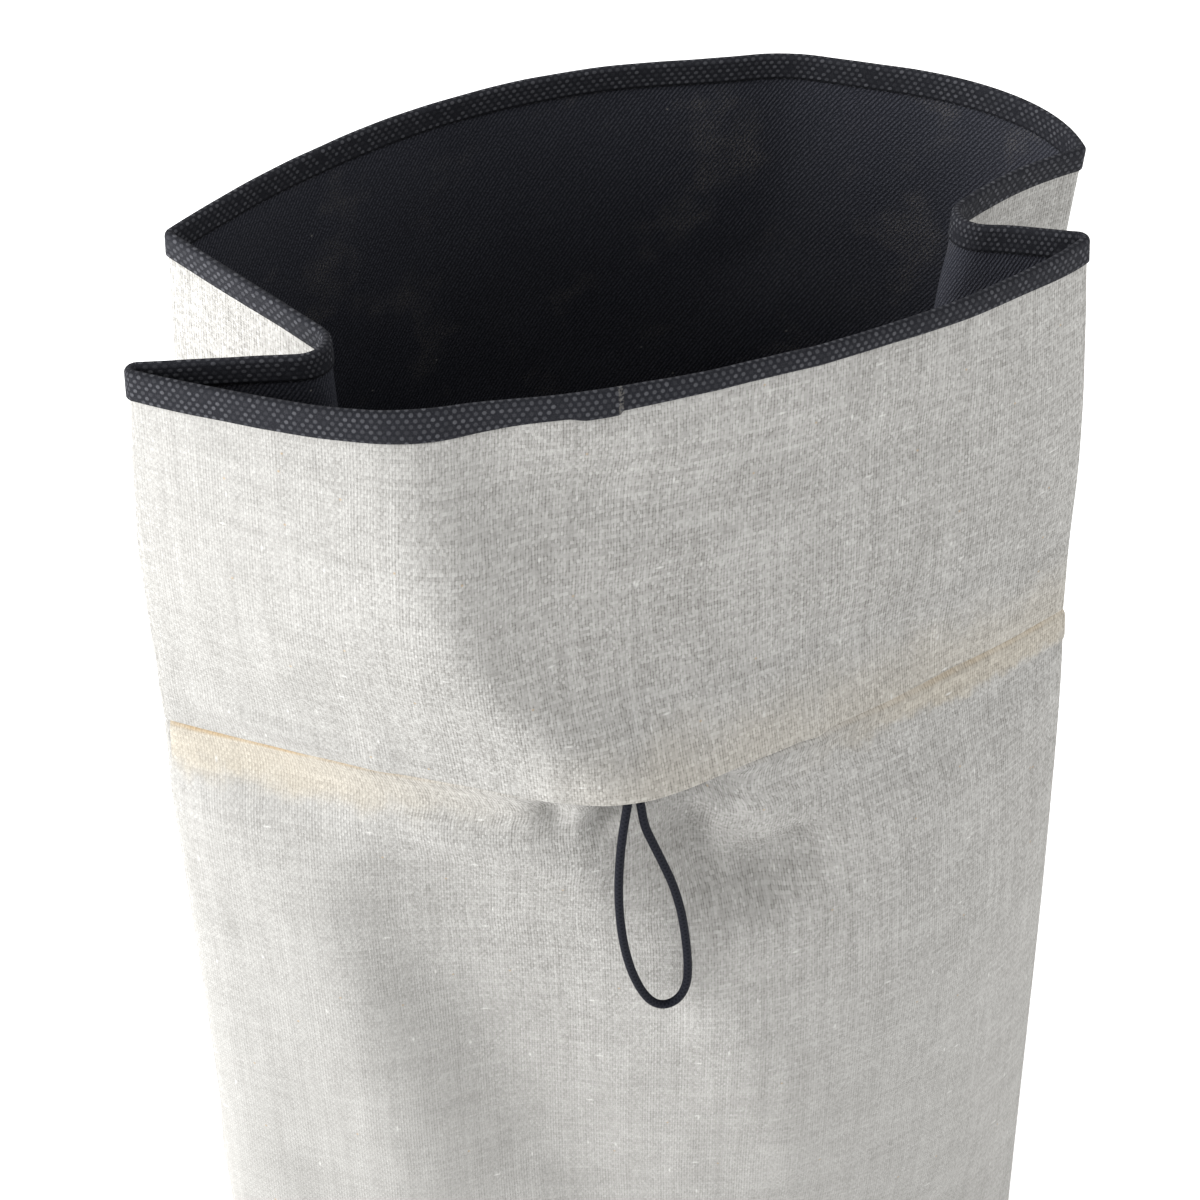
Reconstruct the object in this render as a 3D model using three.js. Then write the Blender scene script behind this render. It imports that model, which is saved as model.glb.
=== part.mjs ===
// A standing cloth storage bag with a black lining, tucked side gussets, a cross seam and an elastic cord loop.
// Millimetres, +Z up. The front panel faces -Y, and the bag stands on z = 0.
import * as THREE from "three";

// Driving sizes
const RIM_HEIGHT = 400;
const SEAM_HEIGHT = 274;
const PANEL_WIDTH = 290;
const OUTER_CLOTH = 1.0;
const LINING_CLOTH = 1.0;
const BINDING_CLOTH = 1.0;
const LAYER_GAP = 0.35;
const BINDING_GAP = 0.5;
const SEAM_GAP = 0.3;
const BASE_EDGE_RADIUS = 4;
const CORNER_RADIUS = 2.7;
const SHARPEST_RADIUS = 0.5;
const BINDING_INSIDE_DEPTH = 8;
const CORD_DIAMETER = 2.6;
const CORD_SIDES = 8;
const CORD_STEPS = 50;

// The bag's middle in the plan in which the section table is written
const PLAN_CENTRE = { x: -8.74, y: -1.06 };

// The colours of the cloths
const COLOURS = { linen: 0xb9b6ad, lining: 0x17181d, binding: 0x2a2b30, cord: 0x1c1e24 };

// A level row of the bag's outer face: the sharp corners of the front and back panels, the points of the two
// tucked gussets, how the panels bulge, the bow of the right gusset's rear half, and the radius of the tucks.
// A panel's bulge has its height, its peak along the panel, how full it is left and right of the peak
// (less than 1 is fuller), and how far it comes to a point instead of a round.
const BASE_ROW = {
  height: 0,
  frontLeft: [-143, -50],
  frontRight: [119.5, -50],
  rightTuck: [117.5, 2],
  backRight: [121, 54],
  backLeft: [-140, 54],
  leftTuck: [-141, 2],
  front: { bulge: 22, peak: 0.48, left: 0.9, right: 0.9, point: 0 },
  back: { bulge: 22, peak: 0.5, left: 0.9, right: 0.9, point: 0 },
  rightBow: 0,
  tuckRadius: 9,
};
const LOW_ROW = {
  height: 70,
  frontLeft: [-145.5, -48],
  frontRight: [120.5, -47],
  rightTuck: [106, 1],
  backRight: [123, 50],
  backLeft: [-139.5, 50],
  leftTuck: [-129, 1],
  front: { bulge: 38, peak: 0.64, left: 0.65, right: 0.85, point: 0 },
  back: { bulge: 40, peak: 0.52, left: 0.9, right: 0.8, point: 0 },
  rightBow: 0,
  tuckRadius: 8,
};
const BELLY_ROW = {
  height: 160,
  frontLeft: [-148.5, -43],
  frontRight: [121.5, -45],
  rightTuck: [92, -2],
  backRight: [125, 42],
  backLeft: [-138, 44],
  leftTuck: [-114, -4],
  front: { bulge: 48, peak: 0.64, left: 0.65, right: 0.8, point: 0.1 },
  back: { bulge: 55, peak: 0.53, left: 0.95, right: 0.75, point: 0 },
  rightBow: 0,
  tuckRadius: 5,
};
const UNDER_SEAM_ROW = {
  height: 245,
  frontLeft: [-153, -38],
  frontRight: [122, -43],
  rightTuck: [83, -6],
  backRight: [128, 33],
  backLeft: [-136.5, 38],
  leftTuck: [-103, -14],
  front: { bulge: 53, peak: 0.54, left: 0.7, right: 0.85, point: 0.2 },
  back: { bulge: 63, peak: 0.54, left: 1, right: 0.65, point: 0 },
  rightBow: 0,
  tuckRadius: 4,
};
const SEAM_ROW = {
  height: SEAM_HEIGHT,
  frontLeft: [-155, -33],
  frontRight: [122, -42],
  rightTuck: [80, -7.5],
  backRight: [129, 29],
  backLeft: [-136, 36],
  leftTuck: [-100, -18],
  front: { bulge: 62, peak: 0.465, left: 0.95, right: 0.95, point: 0.75 },
  back: { bulge: 66, peak: 0.54, left: 1, right: 0.6, point: 0 },
  rightBow: -1,
  tuckRadius: 4,
};
const SHOULDER_ROW = {
  height: 335,
  frontLeft: [-157.5, -33],
  frontRight: [123, -36],
  rightTuck: [78.5, -11],
  backRight: [132, 21],
  backLeft: [-135, 32],
  leftTuck: [-94, -33],
  front: { bulge: 54, peak: 0.32, left: 0.95, right: 0.65, point: 0.3 },
  back: { bulge: 70, peak: 0.55, left: 1, right: 0.55, point: 0 },
  rightBow: -2,
  tuckRadius: 4.5,
};
const RIM_ROW = {
  height: RIM_HEIGHT,
  frontLeft: [-159.5, -33.6],
  frontRight: [122.3, -30.4],
  rightTuck: [81.5, -15.8],
  backRight: [135, 13.2],
  backLeft: [-134, 28.5],
  leftTuck: [-92, -43.3],
  front: { bulge: 44.5, peak: 0.44, left: 0.92, right: 0.83, point: 0 },
  back: { bulge: 72, peak: 0.55, left: 1, right: 0.46, point: 0 },
  rightBow: -4.2,
  tuckRadius: 7,
};
const LOWER_ROWS = [BASE_ROW, LOW_ROW, BELLY_ROW, UNDER_SEAM_ROW, SEAM_ROW];
const UPPER_ROWS = [SEAM_ROW, SHOULDER_ROW, RIM_ROW];

// Soft ridges (push above 0) and troughs (below 0): the panel, the outer cloth above or below the cross seam or
// both, the fold's two ends as distance along the panel and height, half its width, and how far it pushes out
const FOLDS = [
  { wall: "front", cloth: "both", from: [68, 400], to: [80, 345], width: 20, push: 4 },
  { wall: "front", cloth: "both", from: [80, 345], to: [122, 290], width: 17, push: 3 },
  { wall: "front", cloth: "upper", from: [100, 385], to: [110, 360], width: 11, push: -1.5 },
  { wall: "front", cloth: "lower", from: [40, 235], to: [60, 110], width: 15, push: 5 },
  { wall: "front", cloth: "lower", from: [84, 215], to: [108, 110], width: 26, push: -6.5 },
  { wall: "front", cloth: "lower", from: [84, 250], to: [118, 242], width: 8, push: 1.5 },
  { wall: "front", cloth: "lower", from: [140, 260], to: [150, 226], width: 12, push: -3.5 },
  { wall: "front", cloth: "lower", from: [158, 246], to: [180, 232], width: 11, push: -3.5 },
  { wall: "back", cloth: "both", from: [78, 400], to: [78, 330], width: 13, push: 3.5 },
  { wall: "back", cloth: "both", from: [120, 210], to: [190, 150], width: 18, push: -4 },
];
// The pucker under the cross seam that the cord loop hangs out of
const LOOP_PUCKER = { along: 134, height: 269, across: 11, deep: 7.5, push: -4.6 };

// How far the binding's outer leg reaches down from the rim along the front panel
const BINDING_DEPTH = [
  { along: 0, depth: 9 },
  { along: 0.15, depth: 8.8 },
  { along: 0.32, depth: 8.4 },
  { along: 0.42, depth: 6.4 },
  { along: 0.56, depth: 5.2 },
  { along: 0.7, depth: 5 },
  { along: 0.88, depth: 5.8 },
  { along: 1, depth: 7.5 },
];
const BINDING_SIDE_DEPTH = 7.5;

// The six walls in order round the bag, anticlockwise from above, with the pieces that each is drawn in
const WALLS = [
  { name: "front", from: "frontLeft", to: "frontRight", steps: 17, cornerSteps: 4 },
  { name: "rightFront", from: "frontRight", to: "rightTuck", steps: 3, cornerSteps: 4 },
  { name: "rightBack", from: "rightTuck", to: "backRight", steps: 4, cornerSteps: 3 },
  { name: "back", from: "backRight", to: "backLeft", steps: 18, cornerSteps: 3 },
  { name: "leftBack", from: "backLeft", to: "leftTuck", steps: 3, cornerSteps: 4 },
  { name: "leftFront", from: "leftTuck", to: "frontLeft", steps: 3, cornerSteps: 4 },
];
const WALL_SAMPLES = 40;
const CORNER_PROBE = 6;
const NORMAL_PROBE = 1.5;
const TENT_SOFTNESS = 0.12;
const FOLD_EDGE_FADE = 12;

// The heights of the cloth's rows between the rounded base edge and the rim
const LOWER_HEIGHTS = [25, 55, 88, 120, 148, 172, 195, 216, 236, 252, 262, 268.5];
const UPPER_HEIGHTS = [281, 292, 308, 327, 348, 370, 391];
const EDGE_ANGLES = [90, 60, 30, 0];

// The cord's route by hand: down out of the seam, round the loop and back up into the seam
const CORD_ROUTE = [
  [-29.2, -98.6, 273.5],
  [-30.2, -98.7, 267],
  [-31.2, -98.7, 259],
  [-31.8, -98.6, 250],
  [-32.0, -98.5, 241],
  [-31.6, -98.4, 232],
  [-30.7, -98.2, 223],
  [-29.2, -98.0, 214],
  [-26.9, -97.9, 205],
  [-23.6, -97.8, 197],
  [-19.8, -97.7, 191.8],
  [-15.6, -97.6, 190],
  [-11.6, -97.7, 192.3],
  [-9.4, -97.8, 198],
  [-9.1, -97.9, 205.5],
  [-9.9, -98.0, 216],
  [-11.6, -98.3, 228],
  [-14.2, -98.5, 239],
  [-17.3, -98.6, 248.5],
  [-20.2, -98.7, 256.5],
  [-22.7, -98.7, 264],
  [-24.4, -98.6, 273.5],
];

// Interpolation through the heights of the section rows, without overshoot
function smoothThrough(heights, values, height) {
  const last = heights.length - 1;
  if (height <= heights[0]) return values[0];
  if (height >= heights[last]) return values[last];
  const spans = heights.slice(1).map((h, i) => h - heights[i]);
  const rates = spans.map((span, i) => (values[i + 1] - values[i]) / span);
  const slopes = values.map((_, i) => {
    if (i === 0) return rates[0];
    if (i === last) return rates[last - 1];
    const product = rates[i - 1] * rates[i];
    return product > 0 ? (2 * product) / (rates[i - 1] + rates[i]) : 0;
  });
  const k = Math.max(0, heights.findLastIndex((h) => h <= height));
  const t = (height - heights[k]) / spans[k];
  const start = (1 + 2 * t) * (1 - t) ** 2 * values[k] + t * (1 - t) ** 2 * spans[k] * slopes[k];
  const end = t * t * (3 - 2 * t) * values[k + 1] + t * t * (t - 1) * spans[k] * slopes[k + 1];
  return start + end;
}

// The same named columns as the rows, at any height
function blendRows(rows, height) {
  const heights = rows.map((row) => row.height);
  const blend = (values) => {
    if (typeof values[0] === "number") return smoothThrough(heights, values, height);
    const keys = Object.keys(values[0]);
    const mixed = keys.map((key) => [key, blend(values.map((value) => value[key]))]);
    return Array.isArray(values[0]) ? mixed.map((pair) => pair[1]) : Object.fromEntries(mixed);
  };
  return blend(rows);
}

function sectionAt(height) {
  return blendRows(height >= SEAM_HEIGHT ? UPPER_ROWS : LOWER_ROWS, height);
}

// How far a panel stands out, from 0 at its corners to 1 at its peak
function bulgeShape(along, panel) {
  const before = along < panel.peak;
  const across = before ? along / (2 * panel.peak) : 0.5 + (along - panel.peak) / (2 * (1 - panel.peak));
  const round = Math.max(4 * across * (1 - across), 0) ** (before ? panel.left : panel.right);
  const soften = (value) => Math.hypot(value, TENT_SOFTNESS) - TENT_SOFTNESS;
  const tent = 1 - soften(2 * across - 1) / soften(1);
  return (1 - panel.point) * round + panel.point * tent;
}

// The push of the soft folds at a place on a panel
function foldPush(wall, along, height, belowSeam) {
  const place = new THREE.Vector2(along * PANEL_WIDTH, height);
  const other = belowSeam ? "upper" : "lower";
  let push = 0;
  for (const fold of FOLDS.filter((row) => row.wall === wall && row.cloth !== other)) {
    const start = new THREE.Vector2(...fold.from);
    const run = new THREE.Vector2(...fold.to).sub(start);
    const share = THREE.MathUtils.clamp(place.clone().sub(start).dot(run) / run.lengthSq(), 0, 1);
    const away = place.distanceTo(start.addScaledVector(run, share));
    push += fold.push * Math.exp(-(away ** 2) / (2 * fold.width ** 2));
  }
  if (wall === "front" && belowSeam) {
    const sideways = (place.x - LOOP_PUCKER.along) / LOOP_PUCKER.across;
    const down = (height - LOOP_PUCKER.height) / LOOP_PUCKER.deep;
    push += LOOP_PUCKER.push * Math.exp(-(sideways ** 2 + down ** 2) / 2);
  }
  return push * Math.min(1, FOLD_EDGE_FADE * along * (1 - along));
}

// One wall of a section between its sharp corners, as a curve measured by its length
function wallCurve(section, wall, height, belowSeam) {
  const start = new THREE.Vector2(...section[wall.from]);
  const run = new THREE.Vector2(...section[wall.to]).sub(start);
  const out = new THREE.Vector2(run.y, -run.x).normalize();
  const points = [];
  for (let i = 0; i <= WALL_SAMPLES; i++) {
    const along = (1 - Math.cos((Math.PI * i) / WALL_SAMPLES)) / 2;
    let push = 0;
    if (wall.name === "front") push = section.front.bulge * bulgeShape(along, section.front);
    if (wall.name === "back") push = section.back.bulge * bulgeShape(1 - along, section.back);
    if (wall.name === "rightBack") push = section.rightBow * 4 * along * (1 - along);
    push += foldPush(wall.name, along, height, belowSeam);
    points.push(start.clone().addScaledVector(run, along).addScaledVector(out, push));
  }
  const lengths = [0];
  for (let i = 1; i < points.length; i++) lengths.push(lengths[i - 1] + points[i].distanceTo(points[i - 1]));
  const length = lengths[lengths.length - 1];
  const at = (s) => {
    const clamped = THREE.MathUtils.clamp(s, 0, length);
    const k = Math.min(lengths.findLastIndex((value) => value <= clamped), points.length - 2);
    const share = (clamped - lengths[k]) / (lengths[k + 1] - lengths[k]);
    return points[k].clone().lerp(points[k + 1], share);
  };
  const normal = (s) => {
    const tangent = at(s + NORMAL_PROBE).sub(at(s - NORMAL_PROBE));
    return new THREE.Vector2(tangent.y, -tangent.x).normalize();
  };
  return { length, at, normal };
}

// The corner after each wall: which way it turns, its radius on this layer, and how much wall it takes
function cornerAfter(curve, next, inset, tuckRadius) {
  const before = curve.normal(curve.length - CORNER_PROBE);
  const after = next.normal(CORNER_PROBE);
  const turn = Math.atan2(before.cross(after), before.dot(after));
  const outward = turn > 0;
  const radius = Math.max(outward ? CORNER_RADIUS - inset : tuckRadius + inset, SHARPEST_RADIUS);
  const trim = (outward ? inset + radius : radius - inset) * Math.tan(Math.abs(turn) / 2);
  return { side: outward ? 1 : -1, radius, trim };
}

// A closed loop of points round the bag at one height, at a depth inside its outer face
function outline(height, inset, belowSeam = height < SEAM_HEIGHT) {
  const section = sectionAt(height);
  const curves = WALLS.map((wall) => wallCurve(section, wall, height, belowSeam));
  const corners = curves.map((curve, k) =>
    cornerAfter(curve, curves[(k + 1) % curves.length], inset, section.tuckRadius));
  const loop = [];
  WALLS.forEach((wall, k) => {
    const curve = curves[k];
    const corner = corners[k];
    const first = corners.at(k - 1).trim;
    const last = curve.length - corner.trim;
    for (let i = 0; i <= wall.steps; i++) {
      const s = THREE.MathUtils.lerp(first, last, i / wall.steps);
      const point = curve.at(s).addScaledVector(curve.normal(s), -inset);
      loop.push({ x: point.x, y: point.y, wall: wall.name, along: s / curve.length });
    }
    const next = curves[(k + 1) % curves.length];
    const leave = curve.normal(last);
    const enter = next.normal(corner.trim);
    const reach = inset + corner.side * corner.radius;
    const centreLeave = curve.at(last).addScaledVector(leave, -reach);
    const centreEnter = next.at(corner.trim).addScaledVector(enter, -reach);
    const startAngle = Math.atan2(leave.y, leave.x);
    const sweep = Math.atan2(leave.cross(enter), leave.dot(enter));
    for (let i = 1; i < wall.cornerSteps; i++) {
      const share = i / wall.cornerSteps;
      const angle = startAngle + sweep * share;
      const centre = centreLeave.clone().lerp(centreEnter, share);
      const arm = corner.side * corner.radius;
      loop.push({
        x: centre.x + arm * Math.cos(angle),
        y: centre.y + arm * Math.sin(angle),
        wall: wall.name,
        along: 1,
      });
    }
  });
  return loop;
}

// A loop of an outline lifted to its height
function ring(height, inset, level = height, belowSeam = height < SEAM_HEIGHT) {
  return outline(height, inset, belowSeam).map((point) => [point.x, point.y, level]);
}

// The rounded bottom edge of a layer, from the flat base up to the upright wall
function edgeRings(inset) {
  return EDGE_ANGLES.map((degrees) => {
    const angle = THREE.MathUtils.degToRad(degrees);
    const radius = BASE_EDGE_RADIUS - inset;
    const level = BASE_EDGE_RADIUS - radius * Math.sin(angle);
    return ring(level, BASE_EDGE_RADIUS - radius * Math.cos(angle), level);
  });
}

// A closed solid from loops that run up its outside and down its inside. The quads going down are split the
// other way, so that the layers' facets lie in step.
function solidFromRings(rings, { closeRound = false, capEnds = false } = {}) {
  const count = rings[0].length;
  const positions = rings.flat(2);
  const faces = [];
  const strips = closeRound ? rings.length : rings.length - 1;
  for (let j = 0; j < strips; j++) {
    const here = j * count;
    const next = ((j + 1) % rings.length) * count;
    const rising = positions[3 * here + 2] < positions[3 * next + 2];
    for (let i = 0; i < count; i++) {
      const k = (i + 1) % count;
      if (rising) faces.push(here + i, here + k, next + k, here + i, next + k, next + i);
      else faces.push(here + i, here + k, next + i, here + k, next + k, next + i);
    }
  }
  if (capEnds) {
    const flat = (loop) => loop.map((point) => new THREE.Vector2(point[0], point[1]));
    const lastStart = (rings.length - 1) * count;
    for (const face of THREE.ShapeUtils.triangulateShape(flat(rings[0]), [])) {
      faces.push(face[0], face[2], face[1]);
    }
    for (const face of THREE.ShapeUtils.triangulateShape(flat(rings.at(-1)), [])) {
      faces.push(...face.map((corner) => lastStart + corner));
    }
  }
  const geometry = new THREE.BufferGeometry();
  geometry.setAttribute("position", new THREE.Float32BufferAttribute(positions, 3));
  geometry.setIndex(faces);
  geometry.computeVertexNormals();
  return geometry;
}

function piece(name, geometry, color, roughness) {
  const mesh = new THREE.Mesh(geometry, new THREE.MeshStandardMaterial({ color, roughness, metalness: 0 }));
  mesh.name = name;
  return mesh;
}

// The outer cloth between the cross seam and the rim
function outerUpper() {
  const heights = [SEAM_HEIGHT + SEAM_GAP / 2, ...UPPER_HEIGHTS, clothTop()];
  const outside = heights.map((height) => ring(height, 0));
  const inside = heights.map((height) => ring(height, OUTER_CLOTH)).reverse();
  return solidFromRings([...outside, ...inside], { closeRound: true });
}

// The outer cloth from the base to the cross seam, turned in under the bag's rounded bottom edge
function outerLower() {
  const heights = [...LOWER_HEIGHTS, SEAM_HEIGHT - SEAM_GAP / 2];
  const outside = [...edgeRings(0), ...heights.map((height) => ring(height, 0))];
  const inside = [...edgeRings(OUTER_CLOTH), ...heights.map((height) => ring(height, OUTER_CLOTH))].reverse();
  return solidFromRings([...outside, ...inside], { closeRound: true });
}

// The flat bottom inside the turned-in edge of the outer cloth
function basePanel() {
  const inset = BASE_EDGE_RADIUS + SEAM_GAP;
  return solidFromRings([ring(0, inset), ring(OUTER_CLOTH, inset)], { capEnds: true });
}

// The inner bag with its own bottom
function lining() {
  const inset = OUTER_CLOTH + LAYER_GAP;
  const wall = (depth) => [
    ...edgeRings(depth),
    ...LOWER_HEIGHTS.map((height) => ring(height, depth)),
    ring(SEAM_HEIGHT, depth, SEAM_HEIGHT, true),
    ...UPPER_HEIGHTS.map((height) => ring(height, depth)),
    ring(clothTop(), depth),
  ];
  return solidFromRings([...wall(inset), ...wall(inset + LINING_CLOTH).reverse()], { capEnds: true });
}

// The height at which both cloths end under the binding's fold
function clothTop() {
  return RIM_HEIGHT - BINDING_CLOTH - BINDING_GAP;
}

// How far the binding's outer leg reaches down at a place on the rim
function bindingDepth(point) {
  if (point.wall !== "front") return BINDING_SIDE_DEPTH;
  const alongs = BINDING_DEPTH.map((row) => row.along);
  const depths = BINDING_DEPTH.map((row) => row.depth);
  return smoothThrough(alongs, depths, point.along);
}

// A loop at a depth below the rim that may differ round the bag
function hangingRing(inset, depthOf) {
  const rim = outline(RIM_HEIGHT, inset);
  const reference = outline(RIM_HEIGHT - BINDING_INSIDE_DEPTH, inset);
  return rim.map((point, i) => {
    const depth = depthOf(point);
    const share = depth / BINDING_INSIDE_DEPTH;
    const x = THREE.MathUtils.lerp(point.x, reference[i].x, share);
    const y = THREE.MathUtils.lerp(point.y, reference[i].y, share);
    return [x, y, RIM_HEIGHT - depth];
  });
}

// The tape folded over the rim, outside and inside
function binding() {
  const backOut = -BINDING_GAP;
  const faceOut = backOut - BINDING_CLOTH;
  const backIn = OUTER_CLOTH + LAYER_GAP + LINING_CLOTH + BINDING_GAP;
  const faceIn = backIn + BINDING_CLOTH;
  const shoulder = 0.7 * BINDING_CLOTH;
  const level = (depth) => () => depth;
  return solidFromRings(
    [
      hangingRing(faceOut, bindingDepth),
      hangingRing(faceOut, level(shoulder)),
      hangingRing(faceOut + shoulder, level(0)),
      hangingRing(faceIn - shoulder, level(0)),
      hangingRing(faceIn, level(shoulder)),
      hangingRing(faceIn, level(BINDING_INSIDE_DEPTH)),
      hangingRing(backIn, level(BINDING_INSIDE_DEPTH)),
      hangingRing(backIn, level(BINDING_CLOTH)),
      hangingRing(backOut, level(BINDING_CLOTH)),
      hangingRing(backOut, bindingDepth),
    ],
    { closeRound: true },
  );
}

// The elastic cord, its two ends just under the upper cloth's hem
function cordLoop() {
  const route = new THREE.CatmullRomCurve3(CORD_ROUTE.map((point) => new THREE.Vector3(...point)));
  const corners = [];
  for (let i = 0; i < CORD_SIDES; i++) {
    const angle = (2 * Math.PI * i) / CORD_SIDES;
    const radius = CORD_DIAMETER / 2;
    corners.push(new THREE.Vector2(radius * Math.cos(angle), radius * Math.sin(angle)));
  }
  return new THREE.ExtrudeGeometry(new THREE.Shape(corners), {
    steps: CORD_STEPS,
    bevelEnabled: false,
    extrudePath: route,
  });
}

const bag = new THREE.Group();
bag.add(
  piece("outer_upper", outerUpper(), COLOURS.linen, 0.95),
  piece("outer_lower", outerLower(), COLOURS.linen, 0.95),
  piece("base_panel", basePanel(), COLOURS.linen, 0.95),
  piece("lining", lining(), COLOURS.lining, 0.9),
  piece("binding", binding(), COLOURS.binding, 0.85),
  piece("cord_loop", cordLoop(), COLOURS.cord, 0.6),
);
bag.position.set(-PLAN_CENTRE.x, -PLAN_CENTRE.y, 0);

export default bag;
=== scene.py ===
"""A potato storage bag of pale linen with a black lining, standing open.

The cloth pieces are thin shells lofted between rows of the bag's outline, the same rows as in the part's
source. The panels bulge, the side gussets are tucked in, and soft folds push the cloth in and out. All
lengths are in metres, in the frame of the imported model.
"""

import logging
import math
from dataclasses import astuple, dataclass, field
from enum import Enum
from typing import Iterator, Sequence

import bpy
import numpy as np
from mathutils import Matrix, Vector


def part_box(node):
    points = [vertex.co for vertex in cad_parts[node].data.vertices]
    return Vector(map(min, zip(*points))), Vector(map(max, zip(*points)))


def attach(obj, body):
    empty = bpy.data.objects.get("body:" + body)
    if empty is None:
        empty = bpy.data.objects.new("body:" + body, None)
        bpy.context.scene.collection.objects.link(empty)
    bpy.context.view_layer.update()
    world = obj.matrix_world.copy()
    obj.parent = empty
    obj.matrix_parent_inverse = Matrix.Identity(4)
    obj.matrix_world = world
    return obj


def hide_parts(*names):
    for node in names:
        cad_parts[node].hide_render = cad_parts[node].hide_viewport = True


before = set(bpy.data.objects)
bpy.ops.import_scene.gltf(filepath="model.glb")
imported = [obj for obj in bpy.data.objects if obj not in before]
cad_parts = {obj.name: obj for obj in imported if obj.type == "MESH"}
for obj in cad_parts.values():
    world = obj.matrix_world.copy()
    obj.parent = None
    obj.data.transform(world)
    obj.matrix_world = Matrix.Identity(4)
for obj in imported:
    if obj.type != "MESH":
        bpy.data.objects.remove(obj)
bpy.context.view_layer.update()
LOG = logging.getLogger("potato_storage_bag")

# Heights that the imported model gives
RIM_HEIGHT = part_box("binding")[1][2]
SEAM_HEIGHT = (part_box("outer_lower")[1][2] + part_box("outer_upper")[0][2]) / 2

# Driving sizes of the cloth, the tape and the corners
PANEL_WIDTH = 0.290
CLOTH = 0.0005
LINING_INSET = 0.0009
TAPE = 0.00055
TAPE_GAP = 0.0002
CORNER_RADIUS = 0.0027
SHARPEST_RADIUS = 0.0005
BASE_EDGE_RADIUS = 0.004
CORD_DIAMETER = 0.0026
PLAN_CENTRE = (-0.00874, -0.00106)

# Where the rows of the wall start, and how far under the seam its plain rows end and its dense ones start
WALL_START = 0.006
SEAM_DETAIL = 0.015
SEAM_ZONE = 0.0135


class Wall(Enum):
    """The six walls of the bag, anticlockwise from above."""

    FRONT = 0
    RIGHT_FRONT = 1
    RIGHT_BACK = 2
    BACK = 3
    LEFT_BACK = 4
    LEFT_FRONT = 5


def smoothstep(value: np.ndarray, low: float, high: float) -> np.ndarray:
    """Rise smoothly from 0 at low to 1 at high.

    Args:
        value: The values to ease.
        low: The value that gives 0.
        high: The value that gives 1.

    Returns:
        The eased values.
    """
    share = np.clip((value - low) / (high - low), 0, 1)
    return share * share * (3 - 2 * share)


def run_lengths(points: np.ndarray) -> np.ndarray:
    """Give the length of a line of points up to each of them."""
    return np.concatenate([[0], np.cumsum(np.linalg.norm(np.diff(points, axis=0), axis=1))])


def levels(low: float, high: float, step: float) -> np.ndarray:
    """Space heights evenly between two heights, about a step apart."""
    return np.linspace(low, high, max(2, round((high - low) / step) + 1))


@dataclass(frozen=True)
class Panel:
    """How far a panel stands out, where, and how full or pointed it is."""

    bulge: float
    peak: float
    left: float
    right: float
    point: float = 0.0

    def shape(self, along: np.ndarray) -> np.ndarray:
        """Give the offset of the panel between its corners.

        Args:
            along: Shares of the panel's width, from 0 to 1.

        Returns:
            The distance that the panel stands out at each share.
        """
        before = along < self.peak
        across = np.where(before, along / (2 * self.peak), 0.5 + (along - self.peak) / (2 * (1 - self.peak)))
        power = np.where(before, self.left, self.right)
        full_round = np.maximum(4 * across * (1 - across), 0) ** power
        softness = 0.12
        tent = 1 - (np.hypot(2 * across - 1, softness) - softness) / (math.hypot(1, softness) - softness)
        return self.bulge * ((1 - self.point) * full_round + self.point * tent)


@dataclass(frozen=True)
class SectionRow:
    """A level row of the bag's outer face: its sharp corners, tucks and panels."""

    height: float
    front_left: tuple[float, float]
    front_right: tuple[float, float]
    right_tuck: tuple[float, float]
    back_right: tuple[float, float]
    back_left: tuple[float, float]
    left_tuck: tuple[float, float]
    front: Panel
    back: Panel
    right_bow: float
    tuck_radius: float

    def numbers(self) -> np.ndarray:
        """List the row's numbers in order."""
        return np.hstack(astuple(self))

    def corners(self) -> np.ndarray:
        """List the sharp corners and tucks, each at the start of its wall."""
        return np.array([self.front_left, self.front_right, self.right_tuck, self.back_right, self.back_left,
                         self.left_tuck])


BASE_ROW = SectionRow(
    height=0.0, front_left=(-0.143, -0.050), front_right=(0.1195, -0.050), right_tuck=(0.1175, 0.002),
    back_right=(0.121, 0.054), back_left=(-0.140, 0.054), left_tuck=(-0.141, 0.002),
    front=Panel(0.022, 0.48, 0.9, 0.9), back=Panel(0.022, 0.5, 0.9, 0.9), right_bow=0.0, tuck_radius=0.009)
LOW_ROW = SectionRow(
    height=0.070, front_left=(-0.1455, -0.048), front_right=(0.1205, -0.047), right_tuck=(0.106, 0.001),
    back_right=(0.123, 0.050), back_left=(-0.1395, 0.050), left_tuck=(-0.129, 0.001),
    front=Panel(0.038, 0.64, 0.65, 0.85), back=Panel(0.040, 0.52, 0.9, 0.8), right_bow=0.0, tuck_radius=0.008)
BELLY_ROW = SectionRow(
    height=0.160, front_left=(-0.1485, -0.043), front_right=(0.1215, -0.045), right_tuck=(0.092, -0.002),
    back_right=(0.125, 0.042), back_left=(-0.138, 0.044), left_tuck=(-0.114, -0.004),
    front=Panel(0.048, 0.64, 0.65, 0.8, 0.1), back=Panel(0.055, 0.53, 0.95, 0.75), right_bow=0.0,
    tuck_radius=0.005)
UNDER_SEAM_ROW = SectionRow(
    height=0.245, front_left=(-0.153, -0.038), front_right=(0.122, -0.043), right_tuck=(0.083, -0.006),
    back_right=(0.128, 0.033), back_left=(-0.1365, 0.038), left_tuck=(-0.103, -0.014),
    front=Panel(0.053, 0.54, 0.7, 0.85, 0.2), back=Panel(0.063, 0.54, 1.0, 0.65), right_bow=0.0,
    tuck_radius=0.004)
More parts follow.
